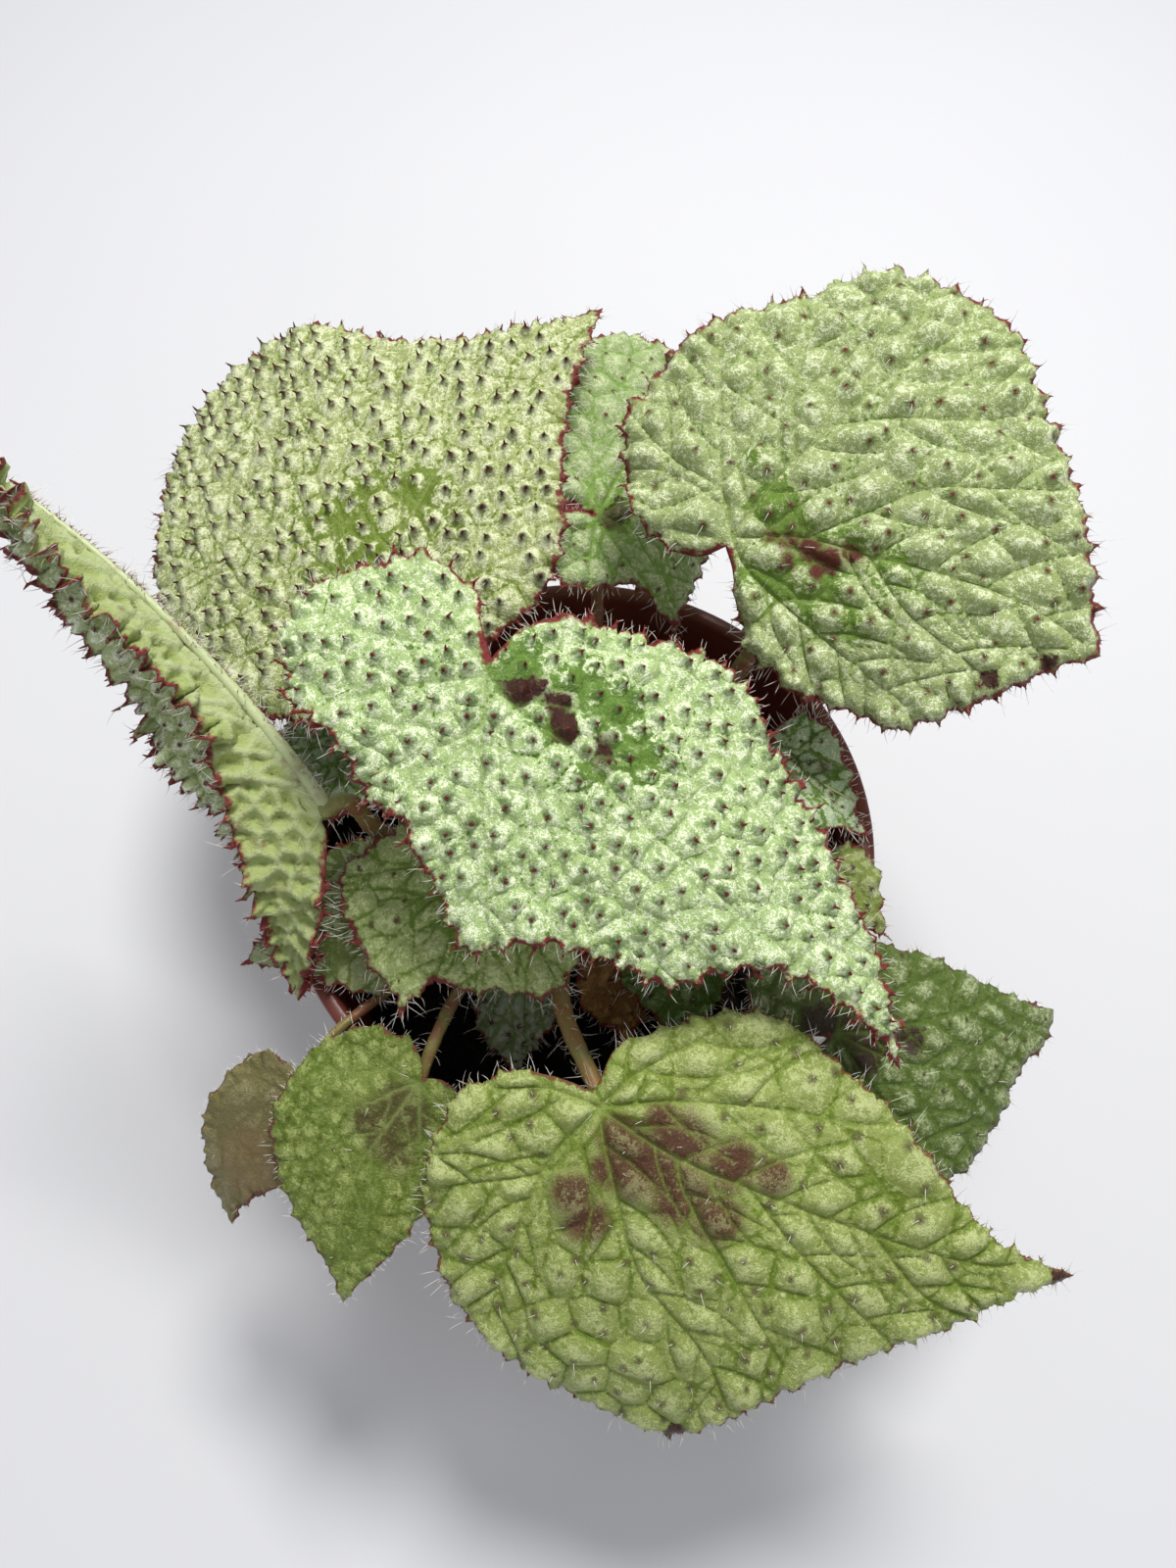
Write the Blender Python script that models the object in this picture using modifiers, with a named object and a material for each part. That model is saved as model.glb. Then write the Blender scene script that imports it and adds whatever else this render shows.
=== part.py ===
"""A potted begonia: a plastic nursery pot of soil, a rhizome, and leaf blades on hairy stalks."""

import math
import random

import bmesh
import bpy
from mathutils import Matrix, Vector
from mathutils.geometry import delaunay_2d_cdt

MM = 0.001

# Pot, in millimetres: a common 12 cm pot
POT_HEIGHT = 95.0
POT_RIM_RADIUS = 60.0
POT_FOOT_RADIUS = 42.5
POT_WALL = 1.6
POT_FLOOR = 2.4
POT_BAND_HEIGHT = 13.0
POT_BAND_STEP = 1.6
POT_LIP_RADIUS = 1.2
POT_SIDES = 40
DRAIN_HOLES = 6
DRAIN_HOLE_RADIUS = 4.0
DRAIN_CIRCLE_RADIUS = 29.0
DRAIN_SIDES = 12

# Soil
SOIL_TOP = 79.5
SOIL_GAP = 0.6
SOIL_DOME = 3.0
SOIL_LUMP = 1.1
SOIL_CLEAR = SOIL_TOP + SOIL_DOME + 2 * SOIL_LUMP
SOIL_RINGS = 8
SOIL_SIDES = 32

# Rhizome, the stout stem that the stalks grow around
RHIZOME_RADIUS = 5.0
RHIZOME_PATH = ((-3, -3, 66), (-2, -1, 76), (1, 1, 86), (4, 2, 92))
RHIZOME_SCAR = 0.10
RHIZOME_TIP = 0.45

# Leaf make-up. Shares are of a leaf's lattice pitch, or of its length where it says so.
BLADE_THICKNESS = 0.7
RIM_SPACING = 0.62
RIM_MARGIN = 0.5
VEIN_MARGIN = 0.3
SCATTER = 0.1
BUMP_SPREAD = (0.75, 1.2)
TOOTH_SPREAD = (0.6, 1.3)
NOTCH_SHARE = 0.03
SEAT_GAP = 0.55
HOLE_GAP = 0.35
STALK_DEPTH = 12.0
STALK_STRAIGHT_SHARE = 0.25
STALK_TAPER = 0.7
STALK_SIDES = 6
CREASE_SHARE = 0.03
SPLINE_STEPS = 6
STEM_STEPS = 3
FADE_SHARES = (0.10, 0.22)
RUFFLE_REACH = 7.0

# Leaf blades. Places are in millimetres from the foot of the pot's axis, angles in degrees.
# Each rim point is (direction from the midrib, reach as a share of the length), left side positive.
CENTRE = dict(
    base=(-14, 5.5, 150), heading=-36, pitch=-10, roll=8, length=97, bend=-28, back=-10,
    fold=(-6, -8), curl=(-25, -35), tip=(-2, 1.03),
    left=((106, 0.05), (94, 0.11), (78, 0.19), (62, 0.27), (49, 0.37), (40, 0.45), (30, 0.51),
          (20, 0.62), (11, 0.74), (5, 0.87)),
    right=((-3, 0.88), (-5, 0.74), (-12, 0.66), (-21, 0.63), (-32, 0.51), (-45, 0.47), (-57, 0.48),
           (-70, 0.36), (-85, 0.30), (-98, 0.31), (-120, 0.29), (-137, 0.36), (-157, 0.37),
           (-176, 0.34), (-194, 0.28), (-208, 0.25), (-227, 0.17), (-224, 0.10)),
    veins=(0, 30, 58, 100, -38, -80, -125, -170, -205),
    mesh=4.0, bump=2.5, tooth=1.7, ruffle=(1.5, 9), stalk=((-10, 6), (-13, 7, 118)), stalk_radius=2.3,
    colour=(0.47, 0.66, 0.38),
)
FRONT = dict(
    base=(4, -56.5, 110), heading=-18, pitch=-4, roll=21, length=91, bend=-20, back=-10,
    fold=(-4, -6), curl=(-30, -40), tip=(1, 1.01),
    left=((108, 0.05), (92, 0.12), (76, 0.17), (65, 0.24), (53, 0.34), (42, 0.41), (30, 0.47),
          (18, 0.58), (8, 0.69), (3, 0.80)),
    right=((-4, 0.92), (-13, 0.84), (-23, 0.77), (-34, 0.73), (-46, 0.74), (-58, 0.78), (-70, 0.71),
           (-84, 0.64), (-98, 0.57), (-114, 0.50), (-134, 0.41), (-152, 0.33), (-170, 0.27),
           (-186, 0.18), (-200, 0.08)),
    veins=(0, 24, 48, 80, -28, -58, -92, -130, -165),
    mesh=4.6, bump=2.6, tooth=1.2, ruffle=(0.8, 7),
    stalk=((-2, -17), (-3, -36, 101)), stalk_radius=2.1,
    colour=(0.36, 0.47, 0.17),
)
BACK_RIGHT = dict(
    base=(28, 40, 140), heading=-20, pitch=4, roll=30, length=70, bend=-10, back=-10,
    fold=(-2, -4), curl=(-20, -30), tip=(-1, 0.97),
    left=((225, 0.10), (203, 0.19), (184, 0.27), (165, 0.35), (148, 0.44), (133, 0.49), (118, 0.56),
          (104, 0.62), (88, 0.70), (77, 0.81), (65, 0.87), (54, 0.88), (42, 0.85), (28, 0.86),
          (14, 0.90), (5, 0.94)),
    right=((-5, 0.92), (-13, 0.82), (-23, 0.75), (-34, 0.68), (-40, 0.58), (-50, 0.48), (-60, 0.38),
           (-70, 0.30), (-75, 0.19), (-71, 0.10)),
    veins=(0, 26, 52, 80, 115, 160, -28, -55),
    mesh=4.4, bump=2.5, tooth=1.6, ruffle=(0.9, 11),
    stalk=((14, 14), (36, 37, 106)), stalk_radius=2.2,
    colour=(0.44, 0.58, 0.30),
)
BACK_LEFT = dict(
    base=(-38, 24, 126), heading=56, pitch=22, roll=-4, length=80, bend=-20, back=-20,
    fold=(-4, -4), curl=(-20, -30), tip=(2, 1.04),
    left=((215, 0.10), (180, 0.22), (152, 0.31), (137, 0.41), (122, 0.55), (106, 0.74), (92, 0.87),
          (80, 1.03), (70, 1.13), (60, 1.12), (49, 1.10), (40, 0.98), (30, 0.90), (20, 0.88),
          (11, 0.93)),
    right=((-1, 0.91), (-5, 0.77), (-15, 0.62), (-27, 0.52), (-40, 0.40), (-56, 0.28), (-80, 0.18),
           (-105, 0.10)),
    veins=(0, 22, 50, 82, 116, 158, -30),
    mesh=4.2, bump=2.5, tooth=1.3, ruffle=(0.9, 9),
    stalk=((-13, 14), (-34, 24, 104)), stalk_radius=2.2,
    colour=(0.50, 0.58, 0.30),
)
LEFT = dict(
    base=(-46, -8.6, 125), heading=127, pitch=26, roll=-107, length=98, bend=0, back=0,
    sweep=26, twist=25, fold=(68, 92), open=(2, -82), curl=(-10, 10), tip=(2, 1.0),
    left=((120, 0.12), (98, 0.22), (80, 0.24), (62, 0.26), (47, 0.31), (36, 0.37), (25, 0.43),
          (17, 0.54), (11, 0.66), (6, 0.80)),
    right=((-4, 0.82), (-10, 0.66), (-14, 0.52), (-16, 0.40), (-23, 0.28), (-45, 0.20), (-76, 0.18),
           (-100, 0.22), (-118, 0.30), (-131, 0.44), (-139, 0.36), (-146, 0.22), (-151, 0.08)),
    veins=(0, 30, 60, -35, -70, -110),
    mesh=4.2, bump=1.6, tooth=1.5, ruffle=(0.7, 9),
    stalk=((-14, 0), (-35, -6, 108)), stalk_radius=2.2,
    colour=(0.40, 0.50, 0.24),
)
FRONT_LEFT = dict(
    base=(-28.5, -51, 102), heading=-112, pitch=-17, roll=-9, length=44, bend=-24, back=-10,
    fold=(-5, -5), curl=(-30, -30), tip=(0, 1.02),
    left=((110, 0.12), (82, 0.26), (60, 0.36), (40, 0.46), (23, 0.57), (12, 0.72), (5, 0.86)),
    right=((-7, 0.89), (-20, 0.82), (-36, 0.75), (-52, 0.68), (-68, 0.58), (-88, 0.48), (-108, 0.37),
           (-126, 0.29), (-146, 0.20), (-165, 0.10)),
    veins=(0, 30, 65, -32, -70, -110),
    mesh=4.4, bump=1.5, tooth=0.9, ruffle=(0.7, 6),
    stalk=((-16, -18), (-22, -32, 97), (-26, -43, 101)), stalk_radius=1.6,
    colour=(0.25, 0.36, 0.12),
)
OLD_LEFT = dict(
    base=(-52.5, -52, 94), heading=-126, pitch=-30, roll=0, length=35, bend=-24, back=-10,
    fold=(0, 0), curl=(-10, -10), tip=(0, 1.0),
    left=((110, 0.15), (85, 0.30), (60, 0.38), (38, 0.46), (18, 0.56), (7, 0.70), (2, 0.86)),
    right=((-8, 0.96), (-20, 0.84), (-34, 0.70), (-50, 0.56), (-70, 0.44), (-92, 0.36), (-112, 0.30),
           (-130, 0.24), (-150, 0.14)),
    veins=(0, 35, 70, -35, -75, -115),
    mesh=4.6, bump=0.8, tooth=0.8, ruffle=(0.6, 5),
    stalk=((-19, -14), (-38, -34, 95.5), (-46, -42, 97.4)), stalk_radius=1.2,
    colour=(0.26, 0.24, 0.10),
)
RIGHT = dict(
    base=(47, -42.5, 103), heading=8, pitch=-9, roll=15, length=50, bend=-20, back=-10,
    fold=(-5, -5), curl=(-20, -20), tip=(2, 1.0),
    left=((172, 0.20), (158, 0.34), (136, 0.40), (112, 0.38), (86, 0.38), (64, 0.40), (43, 0.44),
          (32, 0.52), (20, 0.61), (12, 0.70), (6, 0.84)),
    right=((-6, 0.95), (-13, 0.84), (-23, 0.83), (-35, 0.81), (-48, 0.78), (-64, 0.66), (-84, 0.52),
           (-108, 0.38), (-132, 0.28), (-148, 0.15)),
    veins=(0, 30, 65, -28, -60, -100),
    mesh=4.4, bump=1.5, tooth=0.9, ruffle=(0.6, 6),
    stalk=((24, -10), (41, -30, 99)), stalk_radius=1.6,
    colour=(0.20, 0.32, 0.14),
)
BACK_MIDDLE = dict(
    base=(4, 56.5, 124), heading=-50, pitch=-34, roll=0, length=32, bend=-20, back=-34,
    fold=(0, 0), curl=(-10, -10), tip=(0, 1.0),
    left=((210, 0.30), (180, 0.80), (160, 1.10), (140, 1.30), (120, 1.36), (100, 1.22), (78, 1.00),
          (50, 0.86), (28, 0.70), (12, 0.74)),
    right=((-10, 0.76), (-30, 0.54), (-54, 0.46), (-78, 0.44), (-100, 0.36), (-122, 0.22)),
    veins=(0, 40, 85, 120, 155, -50),
    mesh=4.6, bump=1.8, tooth=1.2, ruffle=(0.8, 6),
    stalk=((1, 18), (4, 50, 100)), stalk_radius=1.7,
    colour=(0.32, 0.48, 0.22),
)
UNDER_LEFT = dict(
    base=(-17, -17, 118), heading=-118, pitch=-12, roll=0, length=40, bend=-20, back=-10,
    fold=(0, 0), curl=(-10, -10), tip=(-3, 0.74),
    left=((120, 0.20), (98, 0.46), (82, 0.58), (66, 0.63), (52, 0.63), (38, 0.55), (20, 0.55),
          (6, 0.53)),
    right=((-14, 0.66), (-26, 0.65), (-40, 0.64), (-52, 0.64), (-66, 0.62), (-84, 0.48),
           (-110, 0.36), (-135, 0.22)),
    veins=(0, 36, 72, -36, -72),
    mesh=4.6, bump=1.8, tooth=1.2, ruffle=(0.8, 6),
    stalk=((-10, -11), (-16, -16, 100)), stalk_radius=1.8,
    colour=(0.36, 0.46, 0.16),
)

# One outline for the small leaves that are mostly hidden
SMALL_LEFT = ((120, 0.16), (92, 0.34), (66, 0.46), (44, 0.52), (26, 0.60), (12, 0.74), (4, 0.88))
SMALL_RIGHT = ((-6, 0.90), (-18, 0.80), (-34, 0.74), (-52, 0.70), (-72, 0.60), (-94, 0.50),
               (-118, 0.40), (-142, 0.28), (-164, 0.14))
SMALL = dict(
    roll=0, bend=-24, back=-10, fold=(-6, -6), curl=(-15, -15), tip=(0, 1.0),
    left=SMALL_LEFT, right=SMALL_RIGHT, veins=(0, 35, 75, -35, -75, -120),
    mesh=4.2, bump=1.4, tooth=1.0, ruffle=(0.7, 6), stalk_radius=1.4,
)
YOUNG_RIGHT = dict(
    SMALL, base=(38, 12, 110), heading=-40, pitch=-4, length=26, fold=(34, 26), ruffle=(1.4, 7),
    stalk=((18, 7), (35, 12, 96)), colour=(0.38, 0.48, 0.30),
)
SMALL_RIGHT_LEAF = dict(
    SMALL, base=(49, -8, 102), heading=-52, pitch=-4, length=20,
    stalk=((23, -2), (43, -8, 94)), colour=(0.30, 0.32, 0.12),
)
UNDER_FRONT = dict(
    SMALL, base=(22, -20, 99), heading=-94, pitch=-8, length=26,
    stalk=((13, -9), (21, -19, 91)), colour=(0.16, 0.26, 0.09),
)
OLD_BROWN = dict(
    SMALL, base=(9.5, -25, 92), heading=-88, pitch=-6, length=19,
    stalk=((8, -17), (9, -22, 88)), colour=(0.22, 0.11, 0.05),
)
SHADED_FRONT = dict(
    SMALL, base=(-10, -30, 90), heading=-96, pitch=-4, length=19,
    stalk=((-7, -23), (-9, -27, 87.5)), colour=(0.20, 0.28, 0.20),
)
SHADED_LEFT = dict(
    SMALL, base=(-44, 13, 106), heading=-160, pitch=-12, length=30,
    stalk=((-21, 8), (-40, 13, 97)), colour=(0.22, 0.30, 0.20),
)
LOW_LEFT = dict(
    SMALL, base=(-34, -19, 101), heading=-166, pitch=-2, length=34,
    stalk=((-19, -9), (-31, -19, 94)), colour=(0.26, 0.30, 0.12),
)

LEAVES = {
    "leaf_centre": CENTRE,
    "leaf_front": FRONT,
    "leaf_back_right": BACK_RIGHT,
    "leaf_back_left": BACK_LEFT,
    "leaf_left_folded": LEFT,
    "leaf_front_left": FRONT_LEFT,
    "leaf_old_left": OLD_LEFT,
    "leaf_right": RIGHT,
    "leaf_back_middle": BACK_MIDDLE,
    "leaf_under_left": UNDER_LEFT,
    "leaf_young_right": YOUNG_RIGHT,
    "leaf_small_right": SMALL_RIGHT_LEAF,
    "leaf_under_front": UNDER_FRONT,
    "leaf_old_brown": OLD_BROWN,
    "leaf_shaded_front": SHADED_FRONT,
    "leaf_shaded_left": SHADED_LEFT,
    "leaf_low_left": LOW_LEFT,
}

POT_COLOUR = (0.11, 0.025, 0.02)
SOIL_COLOUR = (0.012, 0.010, 0.009)
RHIZOME_COLOUR = (0.16, 0.09, 0.05)
STALK_COLOUR = (0.30, 0.20, 0.10)

BLADE_ROUGHNESS = 0.45
STALK_ROUGHNESS = 0.6
RHIZOME_ROUGHNESS = 0.7
POT_ROUGHNESS = 0.35
SOIL_ROUGHNESS = 0.95


# Scene and materials


def clear_scene():
    for obj in list(bpy.data.objects):
        bpy.data.objects.remove(obj, do_unlink=True)


def make_collection(name, hidden=False):
    group = bpy.data.collections.new(name)
    group.hide_render = hidden
    bpy.context.scene.collection.children.link(group)
    return group


def make_material(name, colour, roughness):
    material = bpy.data.materials.new(name)
    material.use_nodes = True
    shader = material.node_tree.nodes["Principled BSDF"]
    shader.inputs["Base Color"].default_value = (*colour, 1.0)
    shader.inputs["Roughness"].default_value = roughness
    shader.inputs["Metallic"].default_value = 0.0
    material.diffuse_color = (*colour, 1.0)
    return material


def add_object(group, name, data, material=None):
    obj = bpy.data.objects.new(name, data)
    group.objects.link(obj)
    if material:
        data.materials.append(material)
    return obj


def hide_helper(obj):
    obj.hide_render = True
    obj.display_type = "WIRE"


def cut(obj, cutters, name):
    modifier = obj.modifiers.new(name, "BOOLEAN")
    modifier.operation = "DIFFERENCE"
    modifier.operand_type = "COLLECTION"
    modifier.collection = cutters
    modifier.solver = "EXACT"


# Leaf surface


def bent_line(distance, rate):
    """How far along and how far up a line has gone that bends at a steady rate."""
    if abs(rate) < 1e-9:
        return distance, 0.0
    return math.sin(rate * distance) / rate, (1 - math.cos(rate * distance)) / rate


def leaf_frame(leaf, u):
    """The midrib's point at distance u with its side and upward directions there, in millimetres."""
    heading = math.radians(leaf["heading"])
    pitch = math.radians(leaf["pitch"])
    share = min(max(u / leaf["length"], -0.3), 1.2)
    roll = math.radians(leaf["roll"] + leaf.get("twist", 0) * share)
    level = Vector((math.cos(heading), math.sin(heading), 0))
    ahead = math.cos(pitch) * level + Vector((0, 0, math.sin(pitch)))
    left = Vector((-math.sin(heading), math.cos(heading), 0))
    up = ahead.cross(left)
    rate = math.radians(leaf["bend"] if u >= 0 else leaf["back"]) / leaf["length"]
    along, rise = bent_line(u, rate)
    point = Vector(leaf["base"]) + along * ahead + rise * up
    normal = math.cos(rate * u) * up - math.sin(rate * u) * ahead
    side = math.cos(roll) * left + math.sin(roll) * normal
    normal = math.cos(roll) * normal - math.sin(roll) * left
    return swept(leaf, share, point, side, normal)


def swept(leaf, share, point, side, normal):
    """The same frame with the midrib curved sideways, to the left where sweep is positive."""
    turn = math.radians(leaf.get("sweep", 0)) * share
    base = Vector(leaf["base"])
    point = base + Matrix.Rotation(turn / 2, 3, "Z") @ (point - base)
    whole = Matrix.Rotation(turn, 3, "Z")
    return point, whole @ side, whole @ normal, share


def leaf_point(leaf, u, v, lift=0.0):
    """The place of blade point (u along the midrib, v to its left), raised by lift."""
    point, side, normal, share = leaf_frame(leaf, u)
    which = 0 if v >= 0 else 1
    sign = 1 if v >= 0 else -1
    fold = math.radians(leaf["fold"][which] + leaf.get("open", (0, 0))[which] * share)
    rate = math.radians(leaf["curl"][which]) / leaf["length"]
    crease = CREASE_SHARE * leaf["length"]
    reach = math.hypot(v, crease) - crease
    across, rise = bent_line(reach, rate)
    out = math.cos(fold) * across - math.sin(fold) * rise
    height = math.sin(fold) * across + math.cos(fold) * rise
    angle = fold * min(1.0, abs(v) / crease) + rate * reach
    upward = math.cos(angle) * normal - sign * math.sin(angle) * side
    return point + sign * (out + abs(v) - reach) * side + height * normal + lift * upward


# Leaf outline


def spline(points, steps=SPLINE_STEPS):
    """A smooth line through the points, which keeps its two ends."""
    ends = [2 * points[0] - points[1], *points, 2 * points[-1] - points[-2]]
    line = []
    for a, b, c, d in zip(ends, ends[1:], ends[2:], ends[3:]):
        for step in range(steps):
            t = step / steps
            slope = c - a
            square = 2 * a - 5 * b + 4 * c - d
            cube = 3 * b - a - 3 * c + d
            line.append(b + 0.5 * (slope * t + square * t**2 + cube * t**3))
    return line + [points[-1]]


def rim_point(leaf, place):
    direction, reach = math.radians(place[0]), place[1] * leaf["length"]
    return Vector((reach * math.cos(direction), reach * math.sin(direction)))


def rim_line(leaf):
    """The closed outline from the notch at the stalk, round by the tip and back."""
    notch = (0.5 * (leaf["left"][0][0] + leaf["right"][-1][0] + 360), NOTCH_SHARE)
    left = [rim_point(leaf, place) for place in (notch, *leaf["left"], leaf["tip"])]
    right = [rim_point(leaf, place) for place in (leaf["tip"], *leaf["right"], notch)]
    return spline(left), spline(right)


def evenly(line, spacing):
    """Points along the line at about this spacing, both ends kept."""
    lengths = [0.0]
    for a, b in zip(line, line[1:]):
        lengths.append(lengths[-1] + (b - a).length)
    count = max(4, round(lengths[-1] / spacing))
    points = []
    index = 0
    for step in range(count + 1):
        goal = lengths[-1] * step / count
        while index < len(line) - 2 and lengths[index + 1] < goal:
            index += 1
        span = lengths[index + 1] - lengths[index]
        points.append(line[index].lerp(line[index + 1], (goal - lengths[index]) / span))
    return points


def end_fade(leaf, point):
    """1 over most of the blade, falling to 0 beside the stalk and at the tip."""
    near, far = (share * leaf["length"] for share in FADE_SHARES)
    by_stalk = (point.length - near) / (far - near)
    by_tip = (point - rim_point(leaf, leaf["tip"])).length / near
    return min(1.0, max(0.0, by_stalk), by_tip)


def toothed_rim(leaf, draw):
    """The outline with a tooth left between nicks at every second point, none beside the notch."""
    spacing = RIM_SPACING * leaf["mesh"]
    left, right = rim_line(leaf)
    rim = evenly(left, spacing)[:-1] + evenly(right, spacing)[:-1]
    teeth = []
    for index, point in enumerate(rim):
        before, after = rim[index - 1], rim[(index + 1) % len(rim)]
        along = (after - before).normalized()
        inward = Vector((along.y, -along.x))
        depth = leaf["tooth"] * draw.uniform(*TOOTH_SPREAD) if index % 2 else 0.0
        teeth.append(point + inward * depth * end_fade(leaf, point))
    return teeth


def inside(point, rim):
    crossings = 0
    for a, b in zip(rim, rim[1:] + rim[:1]):
        if (a.y > point.y) != (b.y > point.y):
            crossings += point.x < a.x + (point.y - a.y) * (b.x - a.x) / (b.y - a.y)
    return crossings % 2 == 1


def edge_distance(point, rim):
    best = 1e9
    for a, b in zip(rim, rim[1:] + rim[:1]):
        along = b - a
        t = min(1.0, max(0.0, (point - a).dot(along) / along.length_squared))
        best = min(best, (point - a - t * along).length)
    return best


def vein_distance(leaf, point):
    """How far the point lies from the nearest of the veins that fan out from the stalk."""
    direction = math.atan2(point.y, point.x)
    best = 1e9
    for vein in leaf["veins"]:
        turn = math.remainder(direction - math.radians(vein), 2 * math.pi)
        if abs(turn) < math.pi / 2:
            best = min(best, point.length * abs(math.sin(turn)))
    return best


def blade_lattice(leaf, rim, draw):
    """Inner points on a triangular lattice, each third one the top of a bump, with its height."""
    pitch = leaf["mesh"]
    row_height = pitch * math.sqrt(3) / 2
    reach = max(point.length for point in rim)
    rows = math.ceil(reach / row_height)
    columns = math.ceil(1.5 * reach / pitch) + 1
    points = []
    for row in range(-rows, rows + 1):
        for column in range(-columns, columns + 1):
            place = Vector(((column + 0.5 * row) * pitch, row * row_height))
            if not inside(place, rim) or edge_distance(place, rim) < RIM_MARGIN * pitch:
                continue
            clear = vein_distance(leaf, place) > VEIN_MARGIN * pitch
            top = (column - row) % 3 == 0 and clear
            place += Vector((draw.uniform(-1, 1), draw.uniform(-1, 1))) * SCATTER * pitch
            height = leaf["bump"] * draw.uniform(*BUMP_SPREAD) if top else 0.0
            points.append((place, height))
    return points


def ruffle(leaf, point, edge):
    size, count = leaf["ruffle"]
    direction = math.atan2(point.y, point.x)
    wave = math.sin(count * direction + leaf["heading"])
    return size * wave * math.exp(-((edge / RUFFLE_REACH) ** 2)) * end_fade(leaf, point)


def make_blade(group, name, leaf):
    """An open sheet of triangles over the outline, bent to the leaf's form and made thick."""
    draw = random.Random(name)
    rim = toothed_rim(leaf, draw)
    lattice = blade_lattice(leaf, rim, draw)
    flat = rim + [place for place, _ in lattice]
    lifts = [0.0] * len(rim) + [height for _, height in lattice]
    edges = [(index, (index + 1) % len(rim)) for index in range(len(rim))]
    points, _, faces, sources, *_ = delaunay_2d_cdt(flat, edges, [], 1, 1e-6)
    places = []
    for point, source in zip(points, sources):
        lift = lifts[source[0]] if source else 0.0
        wave = ruffle(leaf, point, edge_distance(point, rim))
        places.append(leaf_point(leaf, point.x, point.y, lift + wave) * MM)
    mesh = bpy.data.meshes.new(name)
    mesh.from_pydata(places, [], faces)
    mesh.shade_smooth()
    material = make_material(name + "_skin", leaf["colour"], BLADE_ROUGHNESS)
    obj = add_object(group, name, mesh, material)
    thick = obj.modifiers.new("thickness", "SOLIDIFY")
    thick.thickness = BLADE_THICKNESS * MM
    thick.offset = 0.0
    return obj


# Tubes


def tube(name, points, radii):
    """A capped tube along the points with the given radii, which come in millimetres."""
    curve = bpy.data.curves.new(name, "CURVE")
    curve.dimensions = "3D"
    curve.bevel_depth = MM
    curve.bevel_resolution = (STALK_SIDES - 4) // 2
    curve.use_fill_caps = True
    line = curve.splines.new("POLY")
    line.points.add(len(points) - 1)
    for target, place, radius in zip(line.points, points, radii):
        target.co = (*(place * MM), 1.0)
        target.radius = radius
    return curve


def weld(mesh):
    shape = bmesh.new()
    shape.from_mesh(mesh)
    bmesh.ops.remove_doubles(shape, verts=shape.verts, dist=1e-6)
    bmesh.ops.recalc_face_normals(shape, faces=shape.faces)
    shape.to_mesh(mesh)
    shape.free()


def curve_to_mesh(name, curve):
    """A closed mesh of the curve's tube, with the curve itself removed."""
    guide = bpy.data.objects.new(name + "_guide", curve)
    bpy.context.scene.collection.objects.link(guide)
    bpy.context.view_layer.update()
    evaluated = guide.evaluated_get(bpy.context.evaluated_depsgraph_get())
    mesh = bpy.data.meshes.new_from_object(evaluated)
    bpy.data.objects.remove(guide, do_unlink=True)
    bpy.data.curves.remove(curve)
    mesh.name = name
    weld(mesh)
    return mesh


def add_cutter(group, name, mesh):
    obj = add_object(group, name, mesh)
    hide_helper(obj)
    return obj


# Stalks


def stalk_path(leaf):
    """From inside the soil to just under the blade, which it meets a little aslant."""
    base = leaf_point(leaf, 0.0, 0.0)
    normal = leaf_frame(leaf, 0.0)[2]
    middle = [Vector(place) for place in leaf["stalk"][1:]]
    aim = (1.5 * normal + (base - middle[-1]).normalized()).normalized()
    slant = aim.cross(normal).length
    end_radius = STALK_TAPER * leaf["stalk_radius"]
    seat = base - (BLADE_THICKNESS / 2 + SEAT_GAP + slant * end_radius) * normal
    root = Vector((*leaf["stalk"][0], SOIL_TOP - STALK_DEPTH))
    ground = Vector((*leaf["stalk"][0], SOIL_CLEAR))
    straight = STALK_STRAIGHT_SHARE * (seat - middle[-1]).length
    return [root] + spline([ground, *middle, seat - straight * aim, seat], STEM_STEPS)


def make_stalk(group, name, leaf):
    path = stalk_path(leaf)
    loss = (1 - STALK_TAPER) / (len(path) - 1)
    radii = [leaf["stalk_radius"] * (1 - loss * index) for index in range(len(path))]
    material = make_material(name + "_skin", STALK_COLOUR, STALK_ROUGHNESS)
    return add_object(group, name, tube(name, path, radii), material)


def make_hole_cutter(group, name, leaf):
    """A plain upright hole in the soil for one stalk."""
    radius = (leaf["stalk_radius"] + HOLE_GAP) / math.cos(math.pi / STALK_SIDES)
    foot = Vector((*leaf["stalk"][0], SOIL_TOP - STALK_DEPTH - HOLE_GAP))
    path = [foot, foot + Vector((0, 0, STALK_DEPTH + 3 * SOIL_DOME))]
    return add_cutter(group, name, curve_to_mesh(name, tube(name, path, (radius, radius))))


# Rhizome


def rhizome_points():
    return spline([Vector(place) for place in RHIZOME_PATH], STEM_STEPS)


def rhizome_radii(points, margin=0.0):
    """Swollen a little at each leaf scar, and blunt at the growing end."""
    radii = []
    for index in range(len(points)):
        share = index / (len(points) - 1)
        scar = 1 + RHIZOME_SCAR * math.cos(math.pi * index)
        blunt = min(1.0, RHIZOME_TIP + 3.0 * (1 - share))
        radii.append(RHIZOME_RADIUS * scar * blunt + margin)
    return radii


def make_rhizome(group):
    points = rhizome_points()
    curve = tube("rhizome", points, rhizome_radii(points))
    material = make_material("rhizome_skin", RHIZOME_COLOUR, RHIZOME_ROUGHNESS)
    return add_object(group, "rhizome", curve, material)


def make_rhizome_cutter(group):
    points = rhizome_points()
    radii = rhizome_radii(points, 2 * HOLE_GAP)
    points[0] = points[0] + 2 * HOLE_GAP * (points[0] - points[1]).normalized()
    curve = tube("hole_rhizome", points, radii)
    return add_cutter(group, "hole_rhizome", curve_to_mesh("hole_rhizome", curve))


# Pot


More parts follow.
